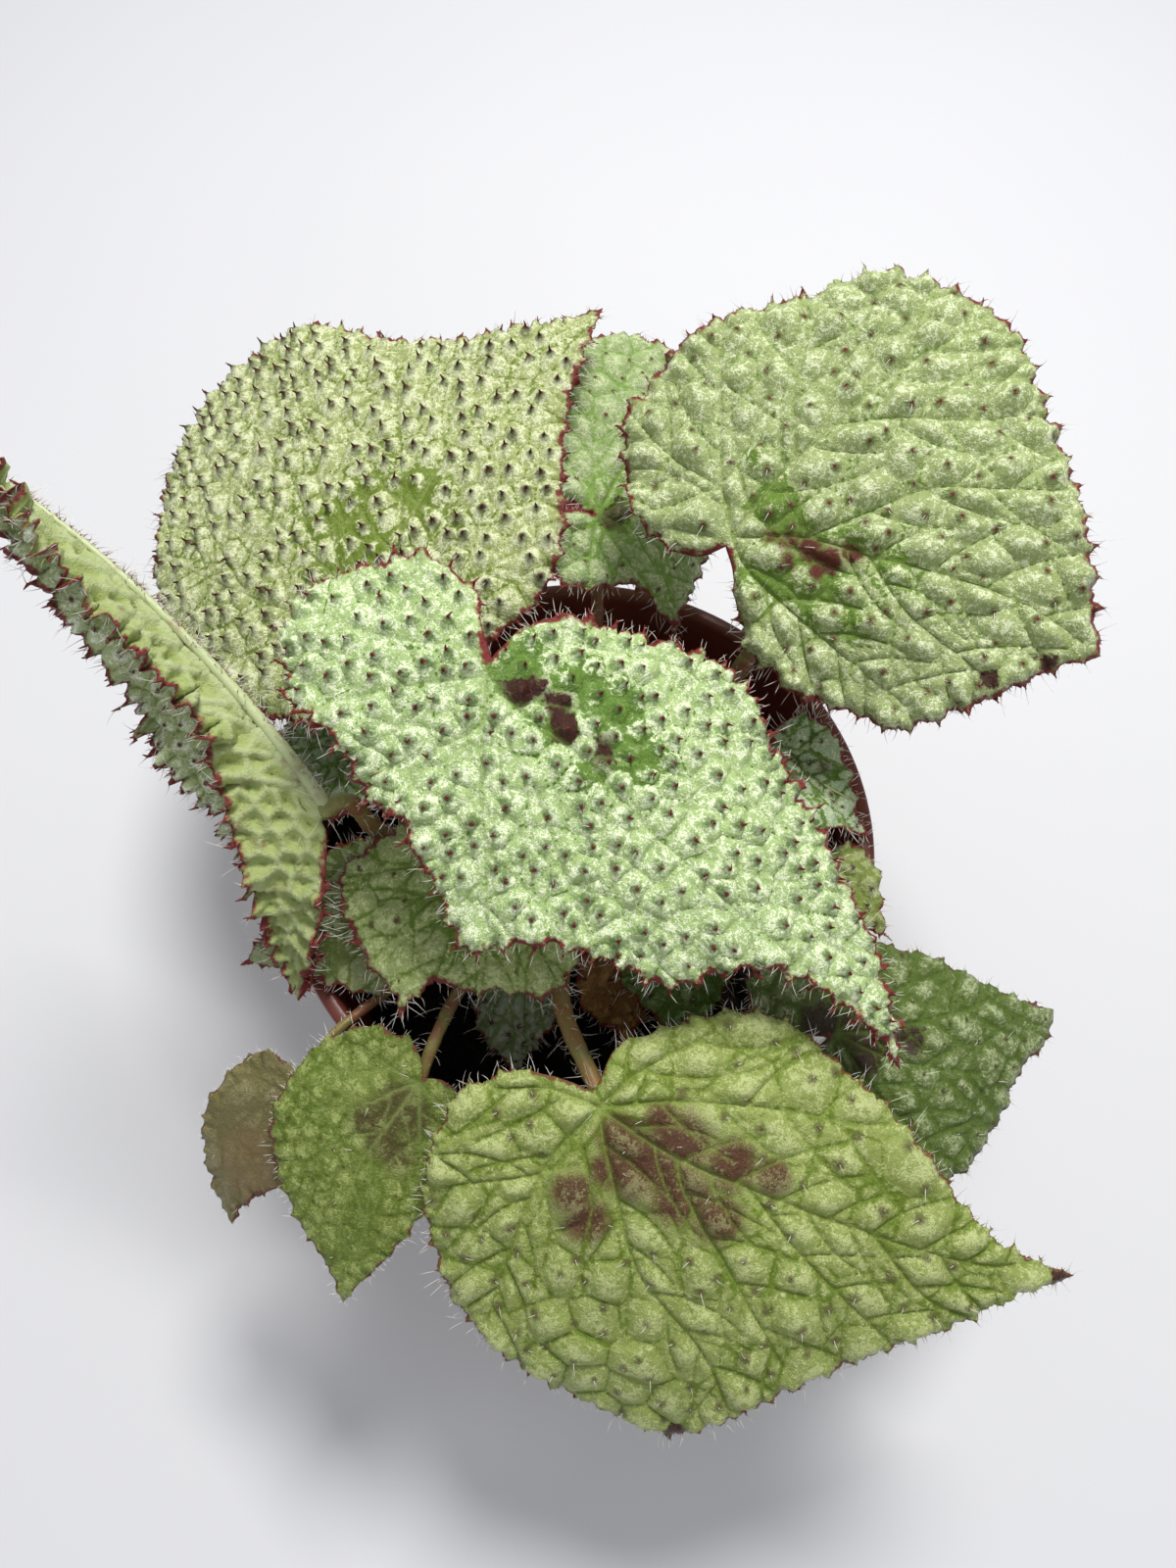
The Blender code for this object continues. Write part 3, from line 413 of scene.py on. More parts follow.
# Veins and patches are (direction in degrees, reach as a share of the length), patches with a radius.
LOOKS = {
    "leaf_centre": dict(
        cell=4.4, puff=1.45, cone=0.6, flat=2.2, shingle=0.45, between=0.2, lean=0.95, peak=(0.9, 0.55),
        ribs=(((-14, 0.06), (-4, 0.2), (-5, 0.4), (-3, 0.68), (0, 0.97)),
              ((-64, 0.05), (-56, 0.2), (-52, 0.35), (-52, 0.5)),
              ((-61, 0.08), (-91, 0.16), (-108, 0.33)),
              ((158, 0.04), (162, 0.1), (146, 0.22)),
              ((138, 0.06), (120, 0.13)),
              ((57, 0.18), (44, 0.31), (32, 0.44)),
              ((-136, 0.13), (-134, 0.29)),
              ((-30, 0.2), (-30, 0.45), (-26, 0.6))),
        rib_width=0.45, rib=1.1, branch=11, crimp=1.0,
        amount=0.9, uneven=0.1, clear=0.08, patchy=0.6, top_highlight=0.12, sheen_veil=0.03,
        bare=((34, 0.16, 4.5), (22, 0.22, 5.5), (10, 0.28, 5.5), (62, 0.06, 5), (-2, 0.14, 4),
              (-8, 0.24, 3)),
        blotch=((18, 0.065, 2.7), (12, 0.12, 2.8), (2, 0.165, 2.6), (5, 0.225, 2.6)),
        stain=(0.048, 0.011, 0.007), stained=1.0, through=0.0,
        silver=(0.42, 0.57, 0.225), pale=(0.9, 0.98, 0.68), green=(0.125, 0.235, 0.03),
        vein=(0.24, 0.36, 0.09), veined=0.6,
        deep=(0.06, 0.13, 0.02), dot=(0.13, 0.016, 0.012), dot_size=(0.1, 0.4), halo=1.35,
        crease=(0.1, 0.18, 0.03), crease_shade=0.12, margin=(0.21, 0.03, 0.026), margin_width=1.05,
        bristle=1.1, hair=(2.0, 0.3), spine=1.4,
    ),
    "leaf_front": dict(
        cell=9.4, stretch=(1.15, 0.95), puff=1.9, cone=0.1, between=0.4, peak=(0.3, 0.6), dots=6.2,
        ribs=(((-16, 0.1), (-14, 0.17), (-9, 0.32), (-5, 0.57), (-2, 0.8), (3, 0.98)),
              ((-110, 0.08), (-113, 0.17), (-136, 0.38)),
              ((-118, 0.08), (-112, 0.18), (-103, 0.35), (-99, 0.52)),
              ((-66, 0.06), (-61, 0.16), (-58, 0.34), (-48, 0.55), (-47, 0.74)),
              ((26, 0.08), (22, 0.18), (19, 0.32), (16, 0.47), (16, 0.6)),
              ((178, 0.1), (-171, 0.21)),
              ((60, 0.1), (52, 0.26)),
              ((-14, 0.17), (-27, 0.24), (-33, 0.44), (-35, 0.66)),
              ((-9, 0.32), (-17, 0.5), (-19, 0.76)),
              ((-5, 0.57), (-10, 0.74), (-9, 0.85))),
        rib_width=0.6, rib=1.2, branch=10, crimp=0.45,
        amount=0.9, uneven=0.36, clear=0.7, soft=0.7, patchy=0.0, top_highlight=0.25,
        blotch=((-36, 0.07, 5.5), (-44, 0.13, 7), (-24, 0.14, 7), (-27, 0.22, 7.5), (-24, 0.31, 6),
                (-2, 0.17, 6.5), (-89, 0.17, 5), (-78, 0.22, 5.5), (-4, 0.27, 6), (-2, 0.35, 4),
                (-60, 0.12, 5), (8, 0.12, 4)),
        burnt=((0, 0.985, 4.5), (-57, 0.75, 3.2)),
        stain=(0.095, 0.028, 0.018), stained=0.95, stain_soft=0.55, through=0.3,
        silver=(0.3, 0.37, 0.095), pale=(0.53, 0.59, 0.25), green=(0.14, 0.21, 0.016),
        vein=(0.29, 0.38, 0.08),
        deep=(0.11, 0.1, 0.03), dot=(0.08, 0.045, 0.02), dot_size=(0.0, 0.24), halo=1.3,
        crease=(0.17, 0.25, 0.03), crease_shade=0.1, margin=(0.19, 0.085, 0.035), margin_width=0.5,
        bristle=0.2, hair=(2.3, 0.9), rim_hair=3.0, spine=0.9, stalk_hairs=2.5,
        stalk=(0.34, 0.15, 0.05),
    ),
    "leaf_back_right": dict(
        cell=7.4, stretch=(1.2, 0.85), puff=2.7, cone=0.1, between=0.4, peak=(0.35, 0.5), dots=5.6,
        ribs=(((12, 0.08), (13, 0.19), (7, 0.35), (6, 0.46), (5, 0.58), (3, 0.76), (0, 0.92)),
              ((120, 0.06), (114, 0.19), (109, 0.49), (106, 0.6)),
              ((66, 0.06), (67, 0.21), (63, 0.38), (62, 0.54), (59, 0.73), (56, 0.84)),
              ((14, 0.2), (25, 0.35), (28, 0.43), (29, 0.52), (26, 0.67), (24, 0.86)),
              ((118, 0.12), (142, 0.26), (144, 0.44)),
              ((118, 0.12), (160, 0.16), (180, 0.24)),
              ((-50, 0.08), (-41, 0.16), (-31, 0.39), (-27, 0.64)),
              ((63, 0.38), (52, 0.5), (42, 0.66), (38, 0.84)),
              ((66, 0.25), (84, 0.42), (86, 0.66)),
              ((7, 0.35), (-8, 0.5), (-12, 0.74))),
        rib_width=0.42, rib=1.1, branch=9.5, crimp=0.8,
        amount=0.95, uneven=0.1, clear=0.24, patchy=0.4, top_highlight=0.1, capped=0.6,
        bare=((24, 0.15, 6), (-34, 0.17, 5), (-14, 0.28, 5), (4, 0.42, 4), (47, 0.13, 4.5), (88, 0.2, 2),
              (5, 0.22, 4), (12, 0.32, 4), (-20, 0.38, 3.5), (-52, 0.12, 4), (-26, 0.27, 5)),
        blotch=((14, 0.1, 2.3), (10, 0.15, 2.8), (3, 0.2, 2.6), (0, 0.26, 2.4), (7, 0.31, 2.0),
                (-8, 0.16, 2.0), (-8, 0.24, 1.8)),
        burnt=((-12, 0.75, 2.2), (-5, 0.86, 2.2)),
        stain=(0.1, 0.022, 0.012), stained=1.0, through=0.0,
        silver=(0.35, 0.43, 0.165), pale=(0.76, 0.83, 0.53), green=(0.13, 0.23, 0.025),
        vein=(0.29, 0.39, 0.1),
        deep=(0.09, 0.12, 0.022), dot=(0.15, 0.02, 0.016), dot_size=(0.1, 0.5), halo=1.3,
        crease=(0.23, 0.33, 0.08), crease_shade=0.22, margin=(0.21, 0.032, 0.03), margin_width=1.05,
        bristle=0.35, hair=(3.0, 0.6), rim_hair=3.0, spine=1.0,
    ),
    "leaf_back_left": dict(
        cell=4.9, puff=1.6, cone=0.55, flat=2.2, shingle=0.2, between=0.25, lean=0.3, peak=(1.1, 0.6),
        ribs=(((22, 0.1), (22, 0.29), (28, 0.5), (32, 0.7), (34, 0.92)),
              ((84, 0.11), (96, 0.31), (97, 0.66), (97, 0.8)),
              ((95, 0.45), (88, 0.6), (84, 0.8)),
              ((78, 0.05), (58, 0.24), (55, 0.45), (54, 0.9)),
              ((22, 0.28), (15, 0.48), (12, 0.64), (6, 0.89), (1, 1.0)),
              ((60, 0.2), (72, 0.5), (74, 0.85)),
              ((-20, 0.15), (-24, 0.4)),
              ((140, 0.1), (150, 0.24))),
        rib_width=0.4, rib=1.1, branch=12, crimp=0.7,
        amount=0.8, uneven=0.3, clear=0.2, patchy=0.3, top_highlight=0.25, sheen_veil=0.06, capped=1.0,
        bare=((42, 0.3, 13), (26, 0.14, 9), (62, 0.42, 6), (20, 0.42, 6), (100, 0.12, 7)),
        silver=(0.39, 0.45, 0.165), pale=(0.78, 0.82, 0.53), green=(0.15, 0.225, 0.02),
        vein=(0.3, 0.37, 0.11),
        deep=(0.065, 0.095, 0.014), dot=(0.07, 0.016, 0.009), dot_size=(0.15, 0.6), halo=1.35,
        crease=(0.16, 0.21, 0.035), crease_shade=0.5, margin=(0.19, 0.032, 0.026), margin_width=1.0,
        bristle=1.2, hair=(1.8, 0.2), rim_hair=3.2, spine=1.2,
    ),
    "leaf_left_folded": dict(
        cell=4.4, puff=1.7, cone=0.4, flat=2.2, lean=0.3, peak=(0.5, 0.5),
        ribs=(((0, 0.1), (0, 0.5), (1, 0.95)),),
        rib_width=0.9, rib=1.4, branch=6.0, crimp=2.3, crimp_reach=4.5,
        amount=0.75, clear=0.3, top_highlight=0.3,
        bare=((0, 0.2, 8),),
        silver=(0.5, 0.59, 0.29), pale=(0.88, 0.94, 0.74), green=(0.32, 0.42, 0.11),
        vein=(0.40, 0.47, 0.18),
        deep=(0.2, 0.25, 0.07), dot=(0.12, 0.04, 0.03), dot_size=(0.15, 0.55), halo=0.8,
        crease=(0.26, 0.33, 0.14), margin=(0.20, 0.03, 0.028), margin_width=1.4,
        bristle=0.6, hair=(3.8, 3.0), rim_hair=3.6, spine=1.8, under_hair=4.0,
        back=(0.4, 0.48, 0.17), back_rib=(0.54, 0.61, 0.33),
    ),
    "leaf_front_left": dict(
        cell=3.6, puff=0.2, cone=0.1, peak=(0.05, 0.5), dots=3.8,
        ribs=(((-14, 0.1), (-15, 0.3), (-15, 0.42), (-8, 0.7), (0, 0.97)),
              ((-50, 0.1), (-47, 0.25), (-54, 0.46)),
              ((-95, 0.08), (-100, 0.27)),
              ((24, 0.1), (22, 0.36)),
              ((66, 0.1), (72, 0.25))),
        rib_width=0.45, rib=0.8, branch=9, crimp=0.4,
        amount=0.5, uneven=0.35, clear=0.3, soft=1.2, patchy=0.2, top_highlight=0.3,
        blotch=((-22, 0.12, 6), (-11, 0.26, 5), (5, 0.3, 4), (-30, 0.24, 5), (14, 0.14, 5)),
        stain=(0.06, 0.028, 0.012), stained=0.75, stain_soft=0.6, through=0.35,
        silver=(0.18, 0.235, 0.045), pale=(0.35, 0.42, 0.13), green=(0.1, 0.155, 0.012),
        vein=(0.27, 0.34, 0.1),
        deep=(0.08, 0.085, 0.012), dot=(0.12, 0.09, 0.03), dot_size=(0.0, 0.15), halo=0.5,
        crease=(0.10, 0.16, 0.02), crease_shade=0.1, margin=(0.15, 0.06, 0.03), margin_width=0.35,
        bristle=0.2, hair=(1.8, 0.25), rim_hair=2.0, spine=0.4,
    ),
    "leaf_old_left": dict(
        cell=6.5, puff=0.2, cone=0.0, peak=(0.1, 0.5),
        rib_width=0.35, rib=0.6, crimp=0.4,
        amount=0.35, patchy=0.1,
        blotch=((0, 0.5, 10),),
        stain=(0.22, 0.14, 0.055), stained=0.6,
        silver=(0.23, 0.205, 0.085), pale=(0.29, 0.26, 0.14), green=(0.17, 0.15, 0.05),
        vein=(0.19, 0.18, 0.08),
        deep=(0.12, 0.11, 0.04), dot=(0.12, 0.08, 0.04), dot_size=(0.0, 0.1), halo=0.3,
        crease=(0.12, 0.11, 0.04), crease_shade=0.3, margin=(0.14, 0.055, 0.03), margin_width=0.4,
        bristle=0.1, hair=(1.4, 0.3), rim_hair=1.6, spine=0.4,
        back=(0.20, 0.17, 0.06),
    ),
    "leaf_right": dict(
        cell=6.4, cone=0.1, between=0.4, peak=(0.2, 0.5), dots=4.8,
        rib=0.8, branch=7, crimp=0.4,
        amount=0.6, uneven=0.2, clear=1.0, soft=1.0, patchy=0.3,
        blotch=((10, 0.07, 5), (6, 0.19, 4.5), (-8, 0.3, 3), (-39, 0.13, 4), (140, 0.06, 4)),
        stain=(0.035, 0.014, 0.008), stained=0.95, through=0.0,
        silver=(0.17, 0.22, 0.07), pale=(0.42, 0.49, 0.26), green=(0.085, 0.135, 0.018),
        vein=(0.1, 0.17, 0.02),
        deep=(0.045, 0.06, 0.01), dot=(0.09, 0.04, 0.03), dot_size=(0.05, 0.3), halo=0.7,
        crease=(0.07, 0.13, 0.02), crease_shade=0.2, margin=(0.14, 0.045, 0.03), margin_width=0.45,
        bristle=0.25, hair=(2.0, 0.5), rim_hair=2.2, spine=0.5,
    ),
    "leaf_back_middle": dict(
        cell=6.4, puff=1.3, cone=0.15, between=0.4, dots=5.2,
        rib_width=0.35, crimp=0.6,
        amount=0.75, uneven=0.15, soft=0.7,
        bare=((0, 0.05, 5),),
        blotch=((100, 0.2, 2), (60, 0.1, 2)),
        stain=(0.05, 0.02, 0.01),
        silver=(0.34, 0.45, 0.185), pale=(0.62, 0.7, 0.4), green=(0.21, 0.37, 0.06),
        vein=(0.26, 0.38, 0.09), veined=0.4,
        deep=(0.09, 0.14, 0.025), dot=(0.17, 0.04, 0.03), dot_size=(0.1, 0.45), halo=0.8,
        crease=(0.18, 0.31, 0.05), crease_shade=0.2, margin=(0.20, 0.032, 0.03), margin_width=1.2,
        bristle=0.4, hair=(2.2, 0.4), rim_hair=3.0, spine=1.1,
    ),
    "leaf_under_left": dict(
        cell=7.4, puff=1.2, cone=0.15, between=0.4, dots=5.6,
        crimp=0.6,
        amount=0.8, uneven=0.15, soft=0.7,
        bare=((0, 0.1, 7),),
        silver=(0.33, 0.41, 0.14), pale=(0.56, 0.63, 0.3), green=(0.14, 0.23, 0.025),
        vein=(0.18, 0.26, 0.045),
        deep=(0.08, 0.085, 0.02), dot=(0.14, 0.05, 0.03), dot_size=(0.1, 0.4), halo=0.8,
        crease=(0.16, 0.25, 0.04), crease_shade=0.2, margin=(0.18, 0.035, 0.03), margin_width=1.1,
        bristle=0.35, hair=(2.0, 0.5), rim_hair=3.0, spine=1.1,
    ),
    "leaf_young_right": dict(
        cell=4.0, puff=1.2,
        blotch=((20, 0.4, 2.5), (-30, 0.3, 2.5)),
        silver=(0.40, 0.50, 0.30), pale=(0.62, 0.70, 0.48),
        rim_hair=3.4,
    ),
    "leaf_small_right": dict(
        amount=0.5,
        silver=(0.32, 0.36, 0.13), green=(0.18, 0.22, 0.04),
    ),
    "leaf_under_front": dict(
        amount=0.4,
        silver=(0.18, 0.27, 0.09), pale=(0.3, 0.4, 0.18), green=(0.08, 0.15, 0.02),
    ),
    "leaf_old_brown": dict(
        cell=7.0, puff=0.6,
        amount=0.5,
        silver=(0.34, 0.17, 0.05), pale=(0.42, 0.25, 0.09), green=(0.22, 0.09, 0.025),
        vein=(0.34, 0.18, 0.06),
        deep=(0.14, 0.05, 0.02),
    ),
    "leaf_shaded_front": dict(
        silver=(0.32, 0.37, 0.26), pale=(0.46, 0.52, 0.38), green=(0.16, 0.22, 0.09),
    ),
    "leaf_shaded_left": dict(
        silver=(0.26, 0.33, 0.20), pale=(0.38, 0.46, 0.30),
    ),
    "leaf_low_left": dict(
        amount=0.5,
        silver=(0.30, 0.34, 0.15), green=(0.14, 0.19, 0.04),
    ),
}


# Leaf surface


def bent(distance, rate):
    """How far along and how far up a line has gone that bends at a steady rate."""
    rate = np.where(np.abs(rate) < 1e-9, 1e-9, rate)
    return np.sin(rate * distance) / rate, (1 - np.cos(rate * distance)) / rate


def turned(vectors, angle):
    """Rows of vectors turned about the upright axis."""
    c, s = np.cos(angle), np.sin(angle)
    x, y, z = vectors[:, 0], vectors[:, 1], vectors[:, 2]
    return np.stack([c * x - s * y, s * x + c * y, z], 1)


def surface(leaf, flat):
    """Places in millimetres of blade points (along the midrib, to its left)."""
    u, v = flat[:, 0], flat[:, 1]
    heading, pitch = math.radians(leaf["heading"]), math.radians(leaf["pitch"])
    level = np.array([math.cos(heading), math.sin(heading), 0.0])
    ahead = math.cos(pitch) * level + np.array([0, 0, math.sin(pitch)])
    left = np.array([-math.sin(heading), math.cos(heading), 0.0])
    up = np.cross(ahead, left)
    share = np.clip(u / leaf["length"], -0.3, 1.2)
    roll = np.radians(leaf["roll"] + leaf.get("twist", 0) * share)[:, None]
    rate = np.radians(np.where(u >= 0, leaf["bend"], leaf["back"])) / leaf["length"]
    along, rise = bent(u, rate)
    base = np.array(leaf["base"], float)
    arm = along[:, None] * ahead + rise[:, None] * up
    upright = np.cos(rate * u)[:, None] * up - np.sin(rate * u)[:, None] * ahead
    side = np.cos(roll) * left + np.sin(roll) * upright
    normal = np.cos(roll) * upright - np.sin(roll) * left
    turn = math.radians(leaf.get("sweep", 0)) * share
    arm, side, normal = turned(arm, turn / 2), turned(side, turn), turned(normal, turn)
    sign = np.where(v >= 0, 1.0, -1.0)
    fold = np.where(v >= 0, leaf["fold"][0], leaf["fold"][1])
    opening = leaf.get("open", (0, 0))
    fold = np.radians(fold + np.where(v >= 0, opening[0], opening[1]) * share)
    curl = np.radians(np.where(v >= 0, leaf["curl"][0], leaf["curl"][1])) / leaf["length"]
    crease = CREASE_SHARE * leaf["length"]
    reach = np.hypot(v, crease) - crease
    across, lift = bent(reach, curl)
    out = np.cos(fold) * across - np.sin(fold) * lift
    height = np.sin(fold) * across + np.cos(fold) * lift
    sideways = (sign * (out + np.abs(v) - reach))[:, None] * side
    return base + arm + sideways + height[:, None] * normal


def surface_normals(leaf, flat, step=0.2):
    ahead = surface(leaf, flat + (step, 0)) - surface(leaf, flat - (step, 0))
    left = surface(leaf, flat + (0, step)) - surface(leaf, flat - (0, step))
    return unit(np.cross(ahead, left))


def unit(vectors):
    return vectors / np.maximum(np.linalg.norm(vectors, axis=-1, keepdims=True), 1e-12)


def polar(places, length):
    """Flat points of (direction in degrees, reach as a share of the length)."""
    places = np.array(places, float)
    angle, reach = np.radians(places[:, 0]), places[:, 1] * length
    return np.stack([reach * np.cos(angle), reach * np.sin(angle)], 1)


# Leaf outline


def spline(points, steps=6):
    """A smooth line through the points, which keeps its two ends."""
    ends = np.vstack([2 * points[0] - points[1], points, 2 * points[-1] - points[-2]])
    line = []
    for a, b, c, d in zip(ends, ends[1:], ends[2:], ends[3:]):
        for step in range(steps):
            t = step / steps
            square = 2 * a - 5 * b + 4 * c - d
            cube = 3 * b - a - 3 * c + d
            line.append(b + 0.5 * ((c - a) * t + square * t**2 + cube * t**3))
    return np.array([*line, points[-1]])


def line_lengths(line):
    return np.concatenate([[0.0], np.cumsum(np.linalg.norm(np.diff(line, axis=0), axis=1))])


def along_line(line, places):
    """Points of the line at these distances from its start."""
    lengths = line_lengths(line)
    return np.stack([np.interp(places, lengths, line[:, axis]) for axis in range(line.shape[1])], 1)


def evenly(line, spacing, parts):
    """Points along the line, in whole steps of about this spacing, each split in parts."""
    total = line_lengths(line)[-1]
    count = max(4, round(total / spacing)) * parts
    return along_line(line, np.linspace(0, total, count + 1))


def smooth_step(value, low, high):
    t = np.clip((value - low) / (high - low), 0, 1)
    return t * t * (3 - 2 * t)


def bell(distance, width):
    """1 at no distance, falling softly towards 0 beyond the width."""
    return np.exp(-((distance / width) ** 2))


def end_fade(leaf, flat):
    """1 over most of the blade, falling to 0 beside the stalk and at the tip."""
    near, far = (share * leaf["length"] for share in FADE_SHARES)
    tip = polar([leaf["tip"]], leaf["length"])[0]
    by_stalk = (np.linalg.norm(flat, axis=1) - near) / (far - near)
    by_tip = np.linalg.norm(flat - tip, axis=1) / near
    return np.clip(np.minimum(by_stalk, by_tip), 0, 1)


def fine_rim(leaf, draw):
    """The outline with its teeth, the way outward at each point, and which points are tips of teeth."""
    spacing = RIM_SPACING * leaf["mesh"]
    parts = max(2, round(spacing / (RIM_PITCH * PITCH)))
    notch = (0.5 * (leaf["left"][0][0] + leaf["right"][-1][0] + 360), NOTCH_SHARE)
    left = spline(polar([notch, *leaf["left"], leaf["tip"]], leaf["length"]))
    right = spline(polar([leaf["tip"], *leaf["right"], notch], leaf["length"]))
    rim = np.vstack([evenly(left, spacing, parts)[:-1], evenly(right, spacing, parts)[:-1]])
    count = len(rim) // parts
    depth = np.zeros(count)
    for index in range(1, count, 2):
        depth[index] = leaf["tooth"] * draw.uniform(*TOOTH_SPREAD)
    place = np.arange(len(rim)) / parts
    low = np.floor(place).astype(int)
    share = place - low
    before, after = depth[low], depth[(low + 1) % count]
    cusp = np.where(before < after, after * share**CUSP, before * (1 - share) ** CUSP)
    cusp = np.where((before == 0) & (after == 0), 0, cusp)
    cusp += np.where(share > 0, [draw.uniform(0, RAGGED) * leaf["tooth"] for _ in rim], 0)
    step = unit(np.roll(rim, -1, 0) - np.roll(rim, 1, 0))
    inward = np.stack([step[:, 1], -step[:, 0]], 1)
    toothed = rim + inward * (cusp * end_fade(leaf, rim))[:, None]
    return toothed, -inward, set(range(0, len(rim), 2 * parts))


def inside(points, rim):
    """Whether each flat point lies inside the outline."""
    found = np.zeros(len(points), bool)
    ends = np.roll(rim, -1, 0)
    for chunk in range(0, len(points), CHUNK):
        part = points[chunk:chunk + CHUNK]
        x, y = part[:, 0][:, None], part[:, 1][:, None]
        crosses = (rim[:, 1] > y) != (ends[:, 1] > y)
        rise = np.where(ends[:, 1] == rim[:, 1], 1e-9, ends[:, 1] - rim[:, 1])
        at = rim[:, 0] + (y - rim[:, 1]) * (ends[:, 0] - rim[:, 0]) / rise
        found[chunk:chunk + CHUNK] = (crosses & (x < at)).sum(1) % 2 == 1
    return found


def tree_of(points):
    tree = kdtree.KDTree(len(points))
    for index, point in enumerate(points):
        tree.insert((point[0], point[1], 0), index)
    tree.balance()
    return tree


def nearest(tree, points):
    """The distance to and index of the tree's nearest point, for each point."""
    found = [tree.find((x, y, 0)) for x, y in points.tolist()]
    return np.array([item[2] for item in found]), np.array([item[1] for item in found])


def nearest_two(tree, points):
    first, second, index = [], [], []
    for x, y in points.tolist():
        found = tree.find_n((x, y, 0), 2)
        first.append(found[0][2])
        second.append(found[-1][2])
        index.append(found[0][1])
    return np.array(first), np.array(second), np.array(index)


def lattice(rim, pitch):
    """Points of a triangular lattice inside the outline."""
    row = pitch * math.sqrt(3) / 2
    low, high = rim.min(0), rim.max(0)
    points = []
    for index in range(math.floor(low[1] / row), math.ceil(high[1] / row) + 1):
        start = low[0] - pitch + (0.5 * pitch if index % 2 else 0)
        x = np.arange(start, high[0] + pitch, pitch)
        points.append(np.stack([x, np.full(len(x), index * row)], 1))
    points = np.vstack(points)
    return points[inside(points, rim)]


# Veins


def vein_line(points):
    line = spline(points, 8)
    return along_line(line, np.arange(0, line_lengths(line)[-1], VEIN_STEP))


def primary_veins(leaf, look):
    """Lines of the main veins: the look's own, or else one along each of the leaf's directions."""
    lines = []
    for rib in look["ribs"]:
        points = polar(rib, leaf["length"])
        off_stalk = rib[0][1] > STALK_REACH
        points = vein_line(points) if off_stalk else np.vstack([(0, 0), points])
        lines.append(vein_line(points))
    if lines:
        return lines
    for direction in leaf["veins"]:
        reach = MIDRIB_SHARE if direction == 0 else VEIN_SHARE
        sway = VEIN_SWAY if direction > 0 else -VEIN_SWAY
        points = polar([(direction, 0.2), (direction - sway, 0.6 * reach), (direction - 2 * sway, reach)],
                       leaf["length"])
        lines.append(vein_line(np.vstack([(0, 0), points])))
    return lines


def grow_branch(start, heading, turn, rim, tree, limit):
    """A side vein that curves forward until it nears another vein or the edge."""
    points = [start]
    for step in range(int(limit / VEIN_STEP)):
        heading += turn * VEIN_STEP
        point = points[-1] + VEIN_STEP * np.array([math.cos(heading), math.sin(heading)])
        if step > 6 and (tree.find((*point, 0))[2] < VEIN_ROOM or not inside(point[None], rim)[0]):
            break
        points.append(point)
    return np.array(points)


def side_veins(line, look, rim, tree, draw):
    """Side veins that leave the line to its left and right in turn."""
    gap = look["branch"] / VEIN_STEP
    at, sign = 0.6 * gap, 1
    sides = []
    while at < len(line) - 4:
        index = int(at)
        along = line[min(index + 2, len(line) - 1)] - line[index - 2]
        heading = math.atan2(along[1], along[0]) + sign * math.radians(draw.uniform(*SIDE_ANGLES))
        turn = -sign * draw.uniform(*SIDE_CURVES)
        limit = draw.uniform(*SIDE_LENGTHS) * look["branch"]
        sides.append(grow_branch(line[index], heading, turn, rim, tree, limit))
        sign = -sign
        at += gap * draw.uniform(*SIDE_GAPS)
    return sides


def main_veins(leaf, look, rim):
    """The main veins as far as they lie inside the outline."""
    mains = [line[inside(line, rim)] for line in primary_veins(leaf, look)]
    return [line for line in mains if len(line) > 8]


def all_veins(look, rim, mains, draw):
    """Points of the main veins and their side veins, with the width at each."""
    tree = tree_of(np.vstack(mains))
    lines, widths = [], []
    for line in mains:
        lines.append(line)
        widths.append(look["rib_width"] * (1 - VEIN_TAPER * np.linspace(0, 1, len(line))))
        for side in side_veins(line, look, rim, tree, draw):
            lines.append(side)
            widths.append(SIDE_VEIN * look["rib_width"] * (1 - SIDE_TAPER * np.linspace(0, 1, len(side))))
    return np.vstack(lines), np.concatenate(widths)


# Blade relief


def scatter_cells(leaf, look, size, rim, rim_tree, points, vein_tree, draw):
    """Which lattice points are the tops of the puffs, or the dots, between the veins."""
    spread = min(size, CELL_SHARE * leaf["length"])
    wanted = lattice(rim / look["stretch"], spread) * look["stretch"]
    jitter = np.array([(draw.uniform(-1, 1), draw.uniform(-1, 1)) for _ in wanted])
    wanted = wanted + jitter * CELL_JITTER * spread
    wanted = wanted[inside(wanted, rim)]
    edge, _ = nearest(rim_tree, wanted)
    vein, _ = nearest(vein_tree, wanted)
    wanted = wanted[(edge > RIM_ROOM * spread) & (vein > VEIN_GAP * spread)]
    _, index = nearest(tree_of(points), wanted)
    return np.unique(index)


def ridge_cells(look, flat, edge, vein):
    """Tops of puffs that lie as far from the veins as they can, each a cell's width from the next."""
    near = flat / look["stretch"]
    room = np.where(edge > RIM_ROOM * look["cell"], vein, 0)
    tops = []
    while room.max() > RIDGE_CLEAR:
        top = int(room.argmax())
        tops.append(top)
        room[np.linalg.norm(near - near[top], axis=1) < TOP_GAP * look["cell"]] = 0
    return np.array(tops)


def patch_strength(leaf, flat, patches):
    """How strongly each point lies in the patches of (direction, reach, radius in millimetres)."""
    strength = np.zeros(len(flat))
    for direction, reach, radius in patches:
        middle = polar([(direction, reach)], leaf["length"])[0]
        strength = np.maximum(strength, bell(np.linalg.norm(flat - middle, axis=1), radius))
    return strength


def puff_patches(leaf, look, flat, tops, owner, kind):
    """Patches that partly follow whole puffs."""
    by_point = patch_strength(leaf, flat, look[kind])
    by_puff = patch_strength(leaf, flat[tops], look[kind])[owner]
    return (1.1 - look["patchy"]) * by_point + look["patchy"] * by_puff


def rim_waves(rim, draw):
    """A crinkle along the outline, made of three wavelengths."""
    place = 2 * math.pi * line_lengths(rim)
    return sum(CRIMP_HEIGHT * np.sin(place / size + draw.uniform(0, 6)) for size in CRIMP_LENGTHS)


